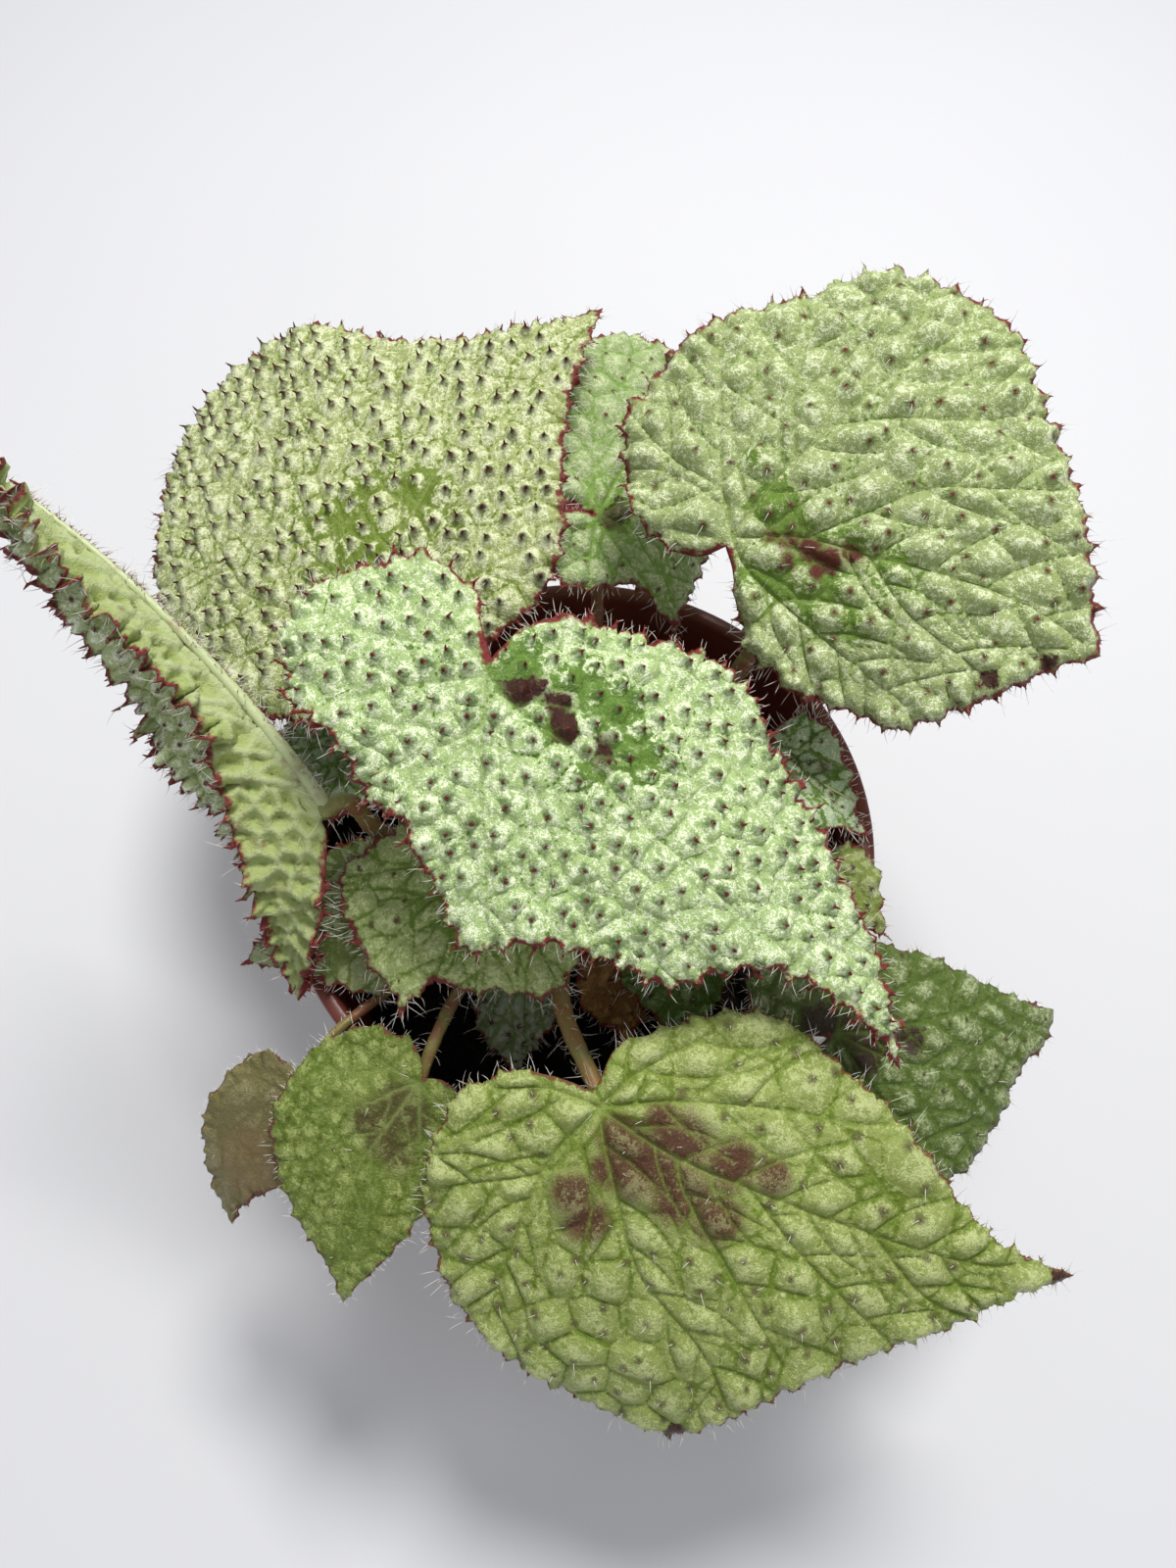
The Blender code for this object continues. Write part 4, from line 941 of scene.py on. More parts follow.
def puff_heights(look, flat, tops, vein, draw):
    """Each point's height on its puff, nearness to the puff's middle, puff, and lead over the next puff."""
    first, second, owner = nearest_two(tree_of(flat[tops] / look["stretch"]), flat / look["stretch"])
    strength = np.array([draw.uniform(*PUFF_SPREAD) for _ in tops])[owner]
    core = np.clip((second - first) / np.maximum(second + first, 1e-6), 0, 1)
    core = np.maximum(core, look["between"] * bell(vein, VEIN_REACH))
    rounded = 1 - (1 - core) ** look["flat"]
    outward = np.sum((flat - flat[tops][owner]) * unit(flat), axis=1)
    scale = SCALE_HEIGHT * np.clip(0.5 + outward / look["cell"], 0, 1) * (1 - (1 - core) ** SCALE_EDGE)
    bump = (1 - look["cone"]) * rounded + look["cone"] * core
    cell = (1 - look["shingle"]) * bump + look["shingle"] * scale
    dome = smooth_step(vein, 0, PILLOW_SHARE * look["branch"])
    height = look["puff"] * strength * ((1 - look["between"]) * cell + look["between"] * dome)
    return height, core, owner, second - first


def blade_waves(leaf, look, flat, rim, edge, beside, draw):
    """The blade's slow wave and the crinkle of its rim."""
    size, count = leaf["ruffle"]
    direction = np.arctan2(flat[:, 1], flat[:, 0])
    wave = size * np.sin(count * direction + leaf["heading"]) * bell(edge, RUFFLE_REACH)
    crimp = look["crimp"] * rim_waves(rim, draw)[beside] * bell(edge, look["crimp_reach"])
    return (wave + crimp) * end_fade(leaf, flat)


def tops_and_dots(leaf, look, flat, edge, vein, rim, trees, draw):
    """The tops of the puffs, and the dots, which are the tops unless the look spaces them otherwise."""
    rim_tree, vein_tree = trees
    if look["between"] > RIDGED:
        tops = ridge_cells(look, flat, edge, vein)
    else:
        tops = scatter_cells(leaf, look, look["cell"], rim, rim_tree, flat, vein_tree, draw)
    if not look["dots"]:
        return tops, tops
    return tops, scatter_cells(leaf, look, look["dots"], rim, rim_tree, flat, vein_tree, draw)


def blade_fields(leaf, look, flat, rim, mains, draw):
    """Height above the smooth blade, underside rib and paint amounts at each point."""
    rim_tree = tree_of(rim)
    edge, beside = nearest(rim_tree, flat)
    edge[:len(rim)] = 0
    vein_points, vein_widths = all_veins(look, rim, mains, draw)
    vein_tree = tree_of(vein_points)
    vein, index = nearest(vein_tree, flat)
    width = vein_widths[index]
    tops, dots = tops_and_dots(leaf, look, flat, edge, vein, rim, (rim_tree, vein_tree), draw)
    from_dot, dot_owner = nearest(tree_of(flat[dots]), flat)
    puff, core, owner, lead = puff_heights(look, flat, tops, vein, draw)
    peak_height, peak_width = look["peak"]
    by_vein = 1 - bell(vein, 1.2 * width + 0.25)
    crease = CREASE_DEPTH * (1 - look["between"]) * bell(core, CREASE_WIDTH)
    height = puff + peak_height * bell(from_dot, peak_width)
    height = height * (VALLEY_SHARE + (1 - VALLEY_SHARE) * by_vein)
    height = (height - VEIN_DEPTH * width * bell(vein, width) - crease) * smooth_step(edge, *RIM_FADE)
    lift = height + blade_waves(leaf, look, flat, rim, edge, beside, draw)
    noise = np.array([draw.uniform(-1, 1) for _ in tops])[owner]
    bare, blotch = (puff_patches(leaf, look, flat, tops, owner, kind) for kind in ("bare", "blotch"))
    kept = look["capped"] * np.sqrt(core)
    silver = look["amount"] + look["uneven"] * noise - BARE_LOSS * bare * (1 - kept)
    silver = silver - VEIN_LOSS * bell(np.minimum(vein, 0.8 * lead), look["clear"])
    dot_size = np.array([draw.uniform(*DOT_SPREAD) for _ in dots])[dot_owner]
    return dict(
        dots=dots, lift=lift, lean=look["lean"] * core**2, rib=width * bell(vein, 0.8 * width),
        silver=silver, vein=bell(vein, 0.75 * width + 0.1), dot=from_dot / dot_size, edge=edge,
        blotch=blotch, burnt=patch_strength(leaf, flat, look["burnt"]), core=core,
    )


def triangulate(rim, points):
    """Triangles over the outline, and the flat points in the order that they use."""
    flat = [Vector(point) for point in np.vstack([rim, points]).tolist()]
    count = len(rim)
    edges = [(index, (index + 1) % count) for index in range(count)]
    found, _, faces, sources, *_ = delaunay_2d_cdt(flat, edges, [], 1, 1e-6)
    order = np.array([source[0] if source else -1 for source in sources])
    places = np.array([tuple(point) for point in found])
    triangles = np.array([face for face in faces if len(face) == 3])
    border = np.full(count, -1)
    for index, source in enumerate(order):
        if 0 <= source < count:
            border[source] = index
    return places, triangles, border[border >= 0]


def sheet_normals(places, triangles):
    normals = np.zeros_like(places)
    corners = places[triangles]
    face = np.cross(corners[:, 1] - corners[:, 0], corners[:, 2] - corners[:, 0])
    for corner in range(3):
        np.add.at(normals, triangles[:, corner], face)
    return unit(normals)


def blade_sheet(name, leaf, look):
    """Everything that the blade and its hairs are made from."""
    draw = random.Random(name + "_blade")
    rim, outward, tips = fine_rim(leaf, draw)
    inner = lattice(rim, PITCH)
    edge, _ = nearest(tree_of(rim), inner)
    inner = inner[edge > INNER_GAP * PITCH]
    flat, triangles, border = triangulate(rim, inner)
    order = np.concatenate([border, np.setdiff1d(np.arange(len(flat)), border)])
    rank = np.empty(len(order), int)
    rank[order] = np.arange(len(order))
    flat, triangles, border = flat[order], rank[triangles], np.arange(len(border))
    mains = main_veins(leaf, look, rim)
    fields = blade_fields(leaf, look, flat, rim[:len(border)], mains, draw)
    outer = unit(flat)
    shifted = flat + outer * fields["lean"][:, None]
    places = surface(leaf, shifted) + surface_normals(leaf, flat) * fields["lift"][:, None]
    normals = sheet_normals(places, triangles)
    if (normals * surface_normals(leaf, flat)).sum(1).mean() < 0:
        triangles = triangles[:, ::-1]
        normals = -normals
    return dict(flat=flat, triangles=triangles, border=border, fields=fields, places=places, normals=normals,
                outward=outward, tips=tips, mains=mains, draw=draw)


# Meshes


def linked(name, data):
    """A new object in the scene that shows this data."""
    obj = bpy.data.objects.new(name, data)
    bpy.context.scene.collection.objects.link(obj)
    return obj


def new_mesh(name, places, faces, fields=None):
    """An object of these places in millimetres, with a number at each point for every field."""
    mesh = bpy.data.meshes.new(name)
    mesh.from_pydata((places * MM).tolist(), [], faces.tolist() if hasattr(faces, "tolist") else faces)
    for label, values in (fields or {}).items():
        attribute = mesh.attributes.new(label, "FLOAT", "POINT")
        attribute.data.foreach_set("value", np.asarray(values, np.float32))
    mesh.shade_smooth()
    mesh.update()
    return linked(name, mesh)


def shape_object(name, shape):
    """An object of the bmesh, which is freed."""
    mesh = bpy.data.meshes.new(name)
    shape.to_mesh(mesh)
    shape.free()
    return linked(name, mesh)


def blade_object(name, sheet):
    """The sheet made thick: thin at its edge, and with ribs below its veins."""
    fields, normals, triangles, border = (sheet[key] for key in ("fields", "normals", "triangles", "border"))
    thick = RIM_SKIN + (SKIN - RIM_SKIN) * smooth_step(fields["edge"], 0, RIM_THICK)
    top = sheet["places"] + normals * (0.5 * thick)[:, None]
    below = sheet["places"] - normals * (0.5 * thick + RAISED_RIB * fields["rib"])[:, None]
    count = len(top)
    after = np.roll(border, -1)
    used = {pair for side in range(3) for pair in zip(triangles[:, side], triangles[:, (side + 1) % 3])}
    start, end = (after, border) if (border[0], after[0]) in used else (border, after)
    walls = [np.stack([start, end, end + count], 1), np.stack([start, end + count, start + count], 1)]
    faces = np.vstack([triangles, triangles[:, ::-1] + count, *walls])
    paint = {label: np.tile(fields[label], 2) for label in PAINTED[:-1]}
    paint["under"] = np.repeat((0.0, 1.0), count)
    return new_mesh(name, np.vstack([top, below]), faces, paint)


def rib_shape(look, order, share):
    """Radius of a rib, and how deep its middle lies below the blade."""
    radius = look["rib"] * (1.0 if order == 0 else SIDE_RIB) * (1 - RIB_TAPER * share)
    return radius, VEIN_DEPTH * look["rib_width"] * (1 - VEIN_TAPER * share) + 0.5 * SKIN + 0.8 * radius


def blade_ribs(name, leaf, look, sheet):
    """Round ribs under the main veins, stout at the stalk and fine near the edge."""
    places, faces = [], []
    start = 0
    for order, line in enumerate(sheet["mains"]):
        line = along_line(line, np.arange(0, RIB_SHARE * line_lengths(line)[-1], RIB_STEP))
        if len(line) < 4:
            continue
        radii, depth = rib_shape(look, order, np.linspace(0, 1, len(line)))
        path = surface(leaf, line) - surface_normals(leaf, line) * depth[:, None]
        places.append(tube_rings(path, radii, RIB_SIDES).reshape(-1, 3))
        faces += [tuple(start + corner for corner in face) for face in ring_faces(len(path), RIB_SIDES)]
        start += len(path) * RIB_SIDES
    return new_mesh(name, np.vstack(places), faces)


def hair_mesh(name, roots, ways, lengths, radii, curls, red):
    """Thin tapering hairs with three sides, each closed at both ends."""
    count = len(roots)
    ways = unit(ways)
    helper = np.where(np.abs(ways[:, 2:3]) < 0.9, [[0.0, 0.0, 1.0]], [[1.0, 0.0, 0.0]])
    across = unit(np.cross(ways, helper))
    other = np.cross(ways, across)
    places = []
    for ring in range(HAIR_RINGS):
        t = ring / HAIR_RINGS
        middle = roots + lengths[:, None] * (t * ways + curls * t**2)
        radius = radii * (1 - HAIR_TAPER * t)
        for corner in range(3):
            angle = 2 * math.pi * corner / 3
            places.append(middle + radius[:, None] * (math.cos(angle) * across + math.sin(angle) * other))
    places.append(roots + lengths[:, None] * (ways + curls))
    along = [*np.repeat(np.arange(HAIR_RINGS) / HAIR_RINGS, 3), 1.0]
    last = 3 * (HAIR_RINGS - 1)
    one = [(0, 2, 1)]
    for a, b, c, d in ring_quads(HAIR_RINGS, 3):
        one += [(a, b, c), (a, c, d)]
    one += [(last + corner, last + (corner + 1) % 3, last + 3) for corner in range(3)]
    faces = (np.array(one)[None] + len(along) * np.arange(count)[:, None, None]).reshape(-1, 3)
    fields = {"along": np.tile(along, count), "red": np.repeat(red, len(along))}
    return new_mesh(name, np.stack(places, 1).reshape(-1, 3), faces, fields)


def random_vector(draw):
    return np.array([draw.gauss(0, 1) for _ in range(3)])


def random_vectors(draw, count):
    return np.array([random_vector(draw) for _ in range(count)])


def grown(draw, root, way, kind, length, radius=HAIR_RADIUS):
    """A hair of this kind: its root, way, length, radius and red number."""
    stray, lengths, red = kind
    way = way + stray * random_vector(draw)
    return root, way, length * draw.uniform(*lengths), radius, red


def rim_hairs(leaf, look, sheet, draw):
    """Long hairs along the rim, and red spines on the teeth and here and there between them."""
    hairs = []
    for index in sheet["border"]:
        is_tip = index in sheet["tips"]
        if not is_tip and draw.random() > RIM_HAIR_SHARE:
            continue
        flat, place = sheet["flat"][index], sheet["places"][index]
        if end_fade(leaf, flat[None])[0] < 0.05:
            continue
        out = surface(leaf, (flat + 0.4 * sheet["outward"][index])[None])[0]
        out = unit(out - surface(leaf, flat[None])[0])
        way = out + sheet["normals"][index] * draw.uniform(*RIM_HAIR_RISE)
        hairs.append(grown(draw, place - 0.3 * out, way, RIM_HAIR, look["rim_hair"]))
        if is_tip or draw.random() < SPINE_SHARE:
            radius = SPINE_WIDTH * look["spine"]
            hairs.append(grown(draw, place - 0.5 * out, out, RIM_SPINE, look["spine"], radius))
    return hairs


def face_hairs(look, sheet, draw):
    """Hairs that stand on the dots."""
    hairs = []
    length, density = look["hair"]
    for index in np.repeat(sheet["fields"]["dots"], math.ceil(density)):
        if draw.random() <= density / math.ceil(density):
            hairs.append(grown(draw, sheet["places"][index], sheet["normals"][index], FACE_HAIR, length))
    return hairs


def midrib_hairs(leaf, look, sheet, draw):
    """Reddish hairs that hang from the rib under the midrib."""
    hairs = []
    midrib = sheet["mains"][0]
    stray, lengths, red = MIDRIB_HAIR
    for _ in range(int(look["under_hair"] * line_lengths(midrib)[-1])):
        place = draw.randrange(int(0.9 * len(midrib)))
        radius, depth = rib_shape(look, 0, place / len(midrib))
        down = -surface_normals(leaf, midrib[place][None])[0]
        way = unit(down + stray * random_vector(draw))
        root = surface(leaf, midrib[place][None])[0] + depth * down + 0.9 * radius * way
        hairs.append((root, way, draw.uniform(*lengths), HAIR_RADIUS, red))
    return hairs


def dot_bristles(look, sheet, draw):
    """Stout dark bristles on the dots, where the look's are long enough to see."""
    hairs = []
    length = look["bristle"]
    for index in sheet["fields"]["dots"] if length > SEEN_BRISTLE else ():
        normal = sheet["normals"][index]
        root = sheet["places"][index] + 0.1 * normal
        hairs.append(grown(draw, root, normal, DOT_BRISTLE, length, BRISTLE_WIDTH * length))
    return hairs


def blade_hairs(name, leaf, look, sheet):
    """All the hairs of a blade, with stiff spines and bristles."""
    draw = sheet["draw"]
    hairs = rim_hairs(leaf, look, sheet, draw) + face_hairs(look, sheet, draw)
    hairs += midrib_hairs(leaf, look, sheet, draw) + dot_bristles(look, sheet, draw)
    roots, ways, lengths, radii, red = (np.array(column) for column in zip(*hairs))
    curls = HAIR_CURL * random_vectors(draw, len(ways))
    curls[:, 2] -= HAIR_DROOP
    curls[red >= RED_SPINE] *= STIFFNESS
    return hair_mesh(name, roots, ways, lengths, radii, curls, red)


# Stalks


def stalk_path(leaf):
    """From inside the soil to just under the blade, as in the solid."""
    zero = np.zeros((1, 2))
    base, normal = surface(leaf, zero)[0], surface_normals(leaf, zero, 0.01)[0]
    middle = [np.array(place, float) for place in leaf["stalk"][1:]]
    aim = unit(1.5 * normal + unit(base - middle[-1]))
    slant = np.linalg.norm(np.cross(aim, normal))
    end_radius = STALK_TAPER * leaf["stalk_radius"]
    seat = base - (BLADE_THICKNESS / 2 + SEAT_GAP + slant * end_radius) * normal
    root = np.array([*leaf["stalk"][0], SOIL_TOP - STALK_DEPTH])
    ground = np.array([*leaf["stalk"][0], SOIL_CLEAR])
    straight = STALK_STRAIGHT_SHARE * np.linalg.norm(seat - middle[-1])
    bent_part = spline(np.array([ground, *middle, seat - straight * aim, seat]), 10)
    return np.vstack([root, bent_part, base - STALK_INSERT * normal])


def tube_rings(path, radii, sides):
    """Rings of points round the path, with frames that don't twist."""
    steps = unit(np.gradient(path, axis=0))
    across = unit(np.cross(steps[0], [1.0, 0.0, 0.0]))
    angles = 2 * np.pi * np.arange(sides) / sides
    rings = []
    for point, step, radius in zip(path, steps, radii):
        across = across - (across @ step) * step
        across = across / np.linalg.norm(across)
        other = np.cross(step, across)
        rings.append(point + radius * (np.cos(angles)[:, None] * across + np.sin(angles)[:, None] * other))
    return np.array(rings)


def roughened(path, rings, factor):
    """The rings with each point's distance from the path multiplied."""
    return path[:, None] + (rings - path[:, None]) * factor[..., None]


def ring_quads(count, sides):
    """Faces between rings of points, ring after ring."""
    faces = []
    for ring in range(count - 1):
        for corner in range(sides):
            a, b = ring * sides + corner, ring * sides + (corner + 1) % sides
            faces.append((a, b, b + sides, a + sides))
    return faces


def ring_faces(count, sides):
    """Faces of a tube that is closed at both ends."""
    ends = [tuple(range(sides))[::-1], tuple(range((count - 1) * sides, count * sides))]
    return ring_quads(count, sides) + ends


def stalk_rings(leaf):
    """The stalk's path, and rings of points round it that make it round and faintly ridged."""
    path = stalk_path(leaf)
    total = line_lengths(path)[-1]
    path = along_line(path, np.linspace(0, total, max(20, round(total / STALK_STEP))))
    share = np.linspace(0, 1, len(path))
    radii = leaf["stalk_radius"] * (1 - (1 - STALK_TAPER) * share)
    swelling = 1.0
    for size, rate in STALK_SWELLS:
        swelling = swelling + size * np.sin(share * total * rate)
    radii = radii * swelling
    radii[-1] *= STALK_END
    ridge = 1 + STALK_RIDGE * np.cos(np.arange(STALK_SIDES) * 2 * math.pi * STALK_RIDGES / STALK_SIDES)
    return path, roughened(path, tube_rings(path, radii, STALK_SIDES), ridge)


def stalk_hairs(name, count, path, rings):
    """Hairs that cover the stalk above the soil."""
    draw = random.Random(name)
    stray, lengths, red = STALK_HAIR
    visible = np.nonzero(path[:, 2] > SOIL_TOP + 2)[0]
    chosen = np.array([draw.choice(visible) for _ in range(count)])
    roots = rings[chosen, np.array([draw.randrange(STALK_SIDES) for _ in range(count)])]
    out = unit(roots - path[chosen])
    ways = out + stray * random_vectors(draw, count)
    lengths = np.array([draw.uniform(*lengths) for _ in range(count)])
    curls = STALK_CURL * random_vectors(draw, count)
    return hair_mesh(name + "_hairs", roots - 0.1 * out, ways, lengths, np.full(count, HAIR_RADIUS), curls,
                     np.full(count, red))


def stalk_objects(name, leaf, look):
    """The stalk, with its share of the way up at each point, and its hairs."""
    path, rings = stalk_rings(leaf)
    along = {"along": np.repeat(np.linspace(0, 1, len(path)), STALK_SIDES)}
    stalk = new_mesh(name + "_skin", rings.reshape(-1, 3), ring_faces(len(path), STALK_SIDES), along)
    count = int(line_lengths(stalk_path(leaf))[-1] * look["stalk_hairs"])
    return stalk, stalk_hairs(name, count, path, rings)


# Materials


class Paint:
    """Short names for the nodes that each material is built from. Texture scales are per metre."""

    def __init__(self, name, **uniform):
        self.material = bpy.data.materials.new(name)
        self.material.use_nodes = True
        self.tree = self.material.node_tree
        self.shader = self.tree.nodes["Principled BSDF"]
        for label, value in uniform.items():
            self.shader.inputs[label.replace("_", " ")].default_value = value
        self.coordinates = self.tree.nodes.new("ShaderNodeTexCoord").outputs["Object"]

    def node(self, kind, values, **settings):
        node = self.tree.nodes.new("ShaderNode" + kind)
        for label, value in settings.items():
            setattr(node, label, value)
        for socket, value in values.items():
            target = node.inputs[socket]
            if isinstance(value, bpy.types.NodeSocket):
                self.tree.links.new(value, target)
            else:
                target.default_value = value
        return node

    def attribute(self, name):
        return self.node("Attribute", {}, attribute_name=name).outputs["Fac"]

    def math(self, operation, first, second):
        return self.node("Math", {0: first, 1: second}, operation=operation).outputs[0]

    def add(self, *parts):
        """The sum of some values. A pair stands for a value times its weight."""
        total, *rest = [self.times(*part) if isinstance(part, tuple) else part for part in parts]
        for part in rest:
            total = self.math("ADD", total, part)
        return total

    def times(self, first, second):
        return self.math("MULTIPLY", first, second)

    def noise(self, scale, detail=3.0, roughness=0.55, distortion=0.0):
        """Noise centred on 0, from about -0.5 to 0.5."""
        values = {"Vector": self.coordinates, "Scale": scale, "Detail": detail, "Roughness": roughness,
                  "Distortion": distortion}
        return self.math("SUBTRACT", self.node("TexNoise", values).outputs["Fac"], 0.5)

    def step(self, value, low, high):
        """0 below low and 1 above high, smoothly; the other way round where low is the greater."""
        limits = {"Value": value, "From Min": low, "From Max": high}
        return self.node("MapRange", limits, interpolation_type="SMOOTHSTEP").outputs["Result"]

    def mix(self, first, second, share):
        values = {0: share, 6: self.colour(first), 7: self.colour(second)}
        return self.node("Mix", values, data_type="RGBA").outputs[2]

    def shade(self, colour, factor):
        """The colour multiplied by a number."""
        grey = self.node("CombineColor", {0: factor, 1: factor, 2: factor}).outputs[0]
        values = {0: 1.0, 6: colour, 7: grey}
        return self.node("Mix", values, data_type="RGBA", blend_type="MULTIPLY").outputs[2]

    def colour(self, value):
        return value if isinstance(value, bpy.types.NodeSocket) else (*value, 1.0)

    def finish(self, colour, roughness=None, height=None, depth=0.1, strength=1.0):
        """Joins colour, roughness and a bump height, with the bump's depth in millimetres, to the shader."""
        self.tree.links.new(colour, self.shader.inputs["Base Color"])
        if roughness is not None:
            self.tree.links.new(roughness, self.shader.inputs["Roughness"])
        if height is not None:
            values = {"Strength": strength, "Distance": depth * MM, "Height": height}
            bump = self.node("Bump", values).outputs["Normal"]
            self.tree.links.new(bump, self.shader.inputs["Normal"])
        return self.material


def leaf_marks(paint):
    """The numbers at each point of the blade, and noises of several sizes."""
    at = SimpleNamespace(**{label: paint.attribute(label) for label in PAINTED})
    at.mottle, at.cloud = paint.noise(850, 5, 0.74, 0.7), paint.noise(480, 3, 0.6)
    at.grain, at.broad = paint.noise(3600, 3, 0.65), paint.noise(55, 2)
    at.blend = paint.add((at.mottle, 1.3), (at.cloud, 0.8))
    return at


def leaf_silver(paint, look, at):
    """Silver over green, with a pale mottle that is partly painted highlight on the puffs' tops, specks, and
    painted shade in the creases; and where it is pale or highlighted.
    """
    half = 0.5 * look["soft"]
    light = paint.step(paint.add(at.silver, at.blend, (at.broad, 0.4)), 0.32 - half, 0.32 + half)
    # sheen: noise for pale flecks, partly the leaf's own silver flecks and partly painted glints on the
    # green
    sheen = paint.add((at.mottle, 1.2), (at.cloud, 0.35), (at.grain, 0.6))
    flecks = paint.times(paint.step(sheen, -0.05, 0.25), 0.5)
    colour = paint.mix(look["green"], look["silver"], paint.add(light, flecks))
    # Painted highlight: the pale mottle gathers on the puffs' tops, with a painted sheen added everywhere
    highlight_on_top = paint.add((paint.add(at.core, -0.35), look["top_highlight"]), look["sheen_veil"])
    pale_and_highlight = paint.times(paint.step(paint.add(sheen, highlight_on_top), -0.02, 0.16), light)
    colour = paint.mix(colour, look["pale"], pale_and_highlight)
    specks = paint.step(paint.noise(2000, 2), 0.13, 0.21)
    colour = paint.mix(colour, look["green"], paint.times(specks, 0.55))
    # Painted shade: the crease colour darkens the borders of the puffs, where the creases are
    crease_shading = paint.times(paint.step(at.core, 0.13, 0.02), look["crease_shade"])
    return paint.mix(colour, look["crease"], crease_shading), pale_and_highlight


def leaf_stains(paint, look, at, colour, pale_and_highlight):
    """Stains, veins, dark halos with a dot in each that are partly painted shade, and burnt spots."""
    stain = paint.step(paint.add(at.blotch, (at.blend, 0.7)), 0.35, 0.35 + look["stain_soft"])
    stain = paint.times(stain, paint.add((pale_and_highlight, -look["through"]), look["stained"]))
    colour = paint.mix(colour, look["stain"], stain)
    colour = paint.mix(colour, look["vein"], paint.times(at.vein, look["veined"]))
    # The dark halo round each dot is partly the leaf's own dark blotch and partly painted shade round the
    # raised point
    halo = paint.step(paint.add(at.dot, (at.blend, 1.1)), look["halo"], 0.2 * look["halo"])
    colour = paint.mix(colour, look["deep"], paint.times(halo, paint.add((stain, -0.75), 0.8)))
    inner, outer = look["dot_size"]
    colour = paint.mix(colour, look["dot"], paint.step(paint.add(at.dot, (at.mottle, 0.9)), outer, inner))
    return paint.mix(colour, BURN, paint.step(paint.add(at.burnt, at.blend), 0.4, 0.7))


def leaf_back(paint, look, at, red):
    """The underside: green between paler veins, flushed with red, and red-rimmed."""
    ridges = paint.add((paint.step(at.core, 0.25, 0.03), 0.55), paint.add(at.vein, (at.mottle, 0.6)))
    back = paint.mix(look["back"], look["back_rib"], ridges)
    back = paint.mix(back, BACK_FLUSH, paint.step(paint.add(at.broad, at.cloud), 0.12, 0.5))
    return paint.mix(back, look["margin"], red)


def leaf_material(name, look):
    """Silver mottling over green, with dark dots, veins, brown patches and a red edge."""
    paint = Paint(name, Specular_IOR_Level=0.28)
    at = leaf_marks(paint)
    colour, pale_and_highlight = leaf_silver(paint, look, at)
    colour = leaf_stains(paint, look, at, colour, pale_and_highlight)
    ragged = paint.add((at.cloud, 3.5), (at.broad, 2.5))
    red = paint.step(paint.add(at.edge, ragged), look["margin_width"], 0.2 * look["margin_width"])
    colour = paint.mix(colour, look["margin"], red)
    colour = paint.shade(colour, paint.add((at.broad, 0.3), (at.grain, 0.6), 1.0))
    colour = paint.mix(colour, leaf_back(paint, look, at, red), at.under)
    relief = paint.add(at.grain, (paint.noise(1500, 3), 1.4))
    return paint.finish(colour, paint.add((at.mottle, 0.3), 0.31), relief, 0.34, 0.75)


def rib_material(name, look):
    """The underside's ribs: pale, with a red flush in streaks."""
    paint = Paint(name)
    streak, fine = paint.noise(200, 4, 0.6, 0.5), paint.noise(1500, 2)
    colour = paint.mix(look["back_rib"], BACK_FLUSH, paint.step(streak, 0.0, 0.35))
    return paint.finish(colour, paint.add((streak, 0.3), 0.45), paint.add(streak, fine), 0.2, 0.5)


def hair_material(name, look):
    """Pale hairs with a darker root, red spines of the rim and dark bristles of the dots."""
    paint = Paint(name, Roughness=0.45, Specular_IOR_Level=0.25)
    along, red = paint.attribute("along"), paint.attribute("red")
    pale = paint.mix(HAIR_ROOT, HAIR_END, paint.step(paint.add(along, paint.noise(900)), 0.0, 0.4))
    rooted = paint.times(paint.step(red, 0.0, 1.0), paint.step(along, 0.7, 0.1))
    colour = paint.mix(pale, look["margin"], rooted)
    colour = paint.mix(colour, look["margin"], paint.step(red, 1.2, 1.4))
    colour = paint.mix(colour, look["dot"], paint.step(red, 2.4, 2.6))
    return paint.finish(colour)


def stalk_material(name, tint):
    """Green to reddish-brown in long streaks, redder towards the soil."""
    paint = Paint(name)
    along, streak, patch = paint.attribute("along"), paint.noise(260, 4, 0.6, 0.5), paint.noise(70, 2)
    amount = paint.add((streak, 1.2), (patch, 0.9), (along, -0.5))
    colour = paint.mix(STALK_GREEN, tint, paint.step(amount, -0.75, -0.05))
    flecks = paint.step(paint.noise(1500, 2), 0.12, 0.24)
    colour = paint.mix(colour, STALK_FLECK, paint.times(flecks, 0.8))
    relief = paint.add(streak, paint.noise(1800, 2))
    return paint.finish(colour, paint.add((streak, 0.3), 0.45), relief, 0.25, 0.5)


def pot_material():
    paint = Paint("pot_satin_plastic")
    cloud, fine = paint.noise(28, 4, 0.6), paint.noise(1400, 2)
    colour = paint.mix(POT_DARK, POT_LIGHT, paint.step(cloud, -0.25, 0.3))
    dust = paint.step(paint.add(paint.noise(180, 5, 0.7), (cloud, 0.6)), 0.10, 0.42)
    colour = paint.mix(colour, POT_DUST, paint.times(dust, 0.35))
    return paint.finish(colour, paint.add((dust, 0.25), paint.add((fine, 0.15), 0.36)), fine, 0.05, 0.4)


def soil_material():
    paint = Paint("peat_soil", Specular_IOR_Level=0.2)
    coarse, fine = paint.noise(300, 5, 0.7), paint.noise(2200, 4, 0.7)
    colour = paint.mix(SOIL_DARK, SOIL_LIGHT, paint.step(paint.add(coarse, (fine, 0.5)), -0.1, 0.45))
    fibre = paint.step(paint.noise(800, 2, 0.5, 3.0), 0.20, 0.28)
    colour = paint.mix(colour, SOIL_FIBRE, fibre)
    return paint.finish(colour, paint.add((fine, 0.2), 0.9), paint.add(coarse, fine), 1.2)


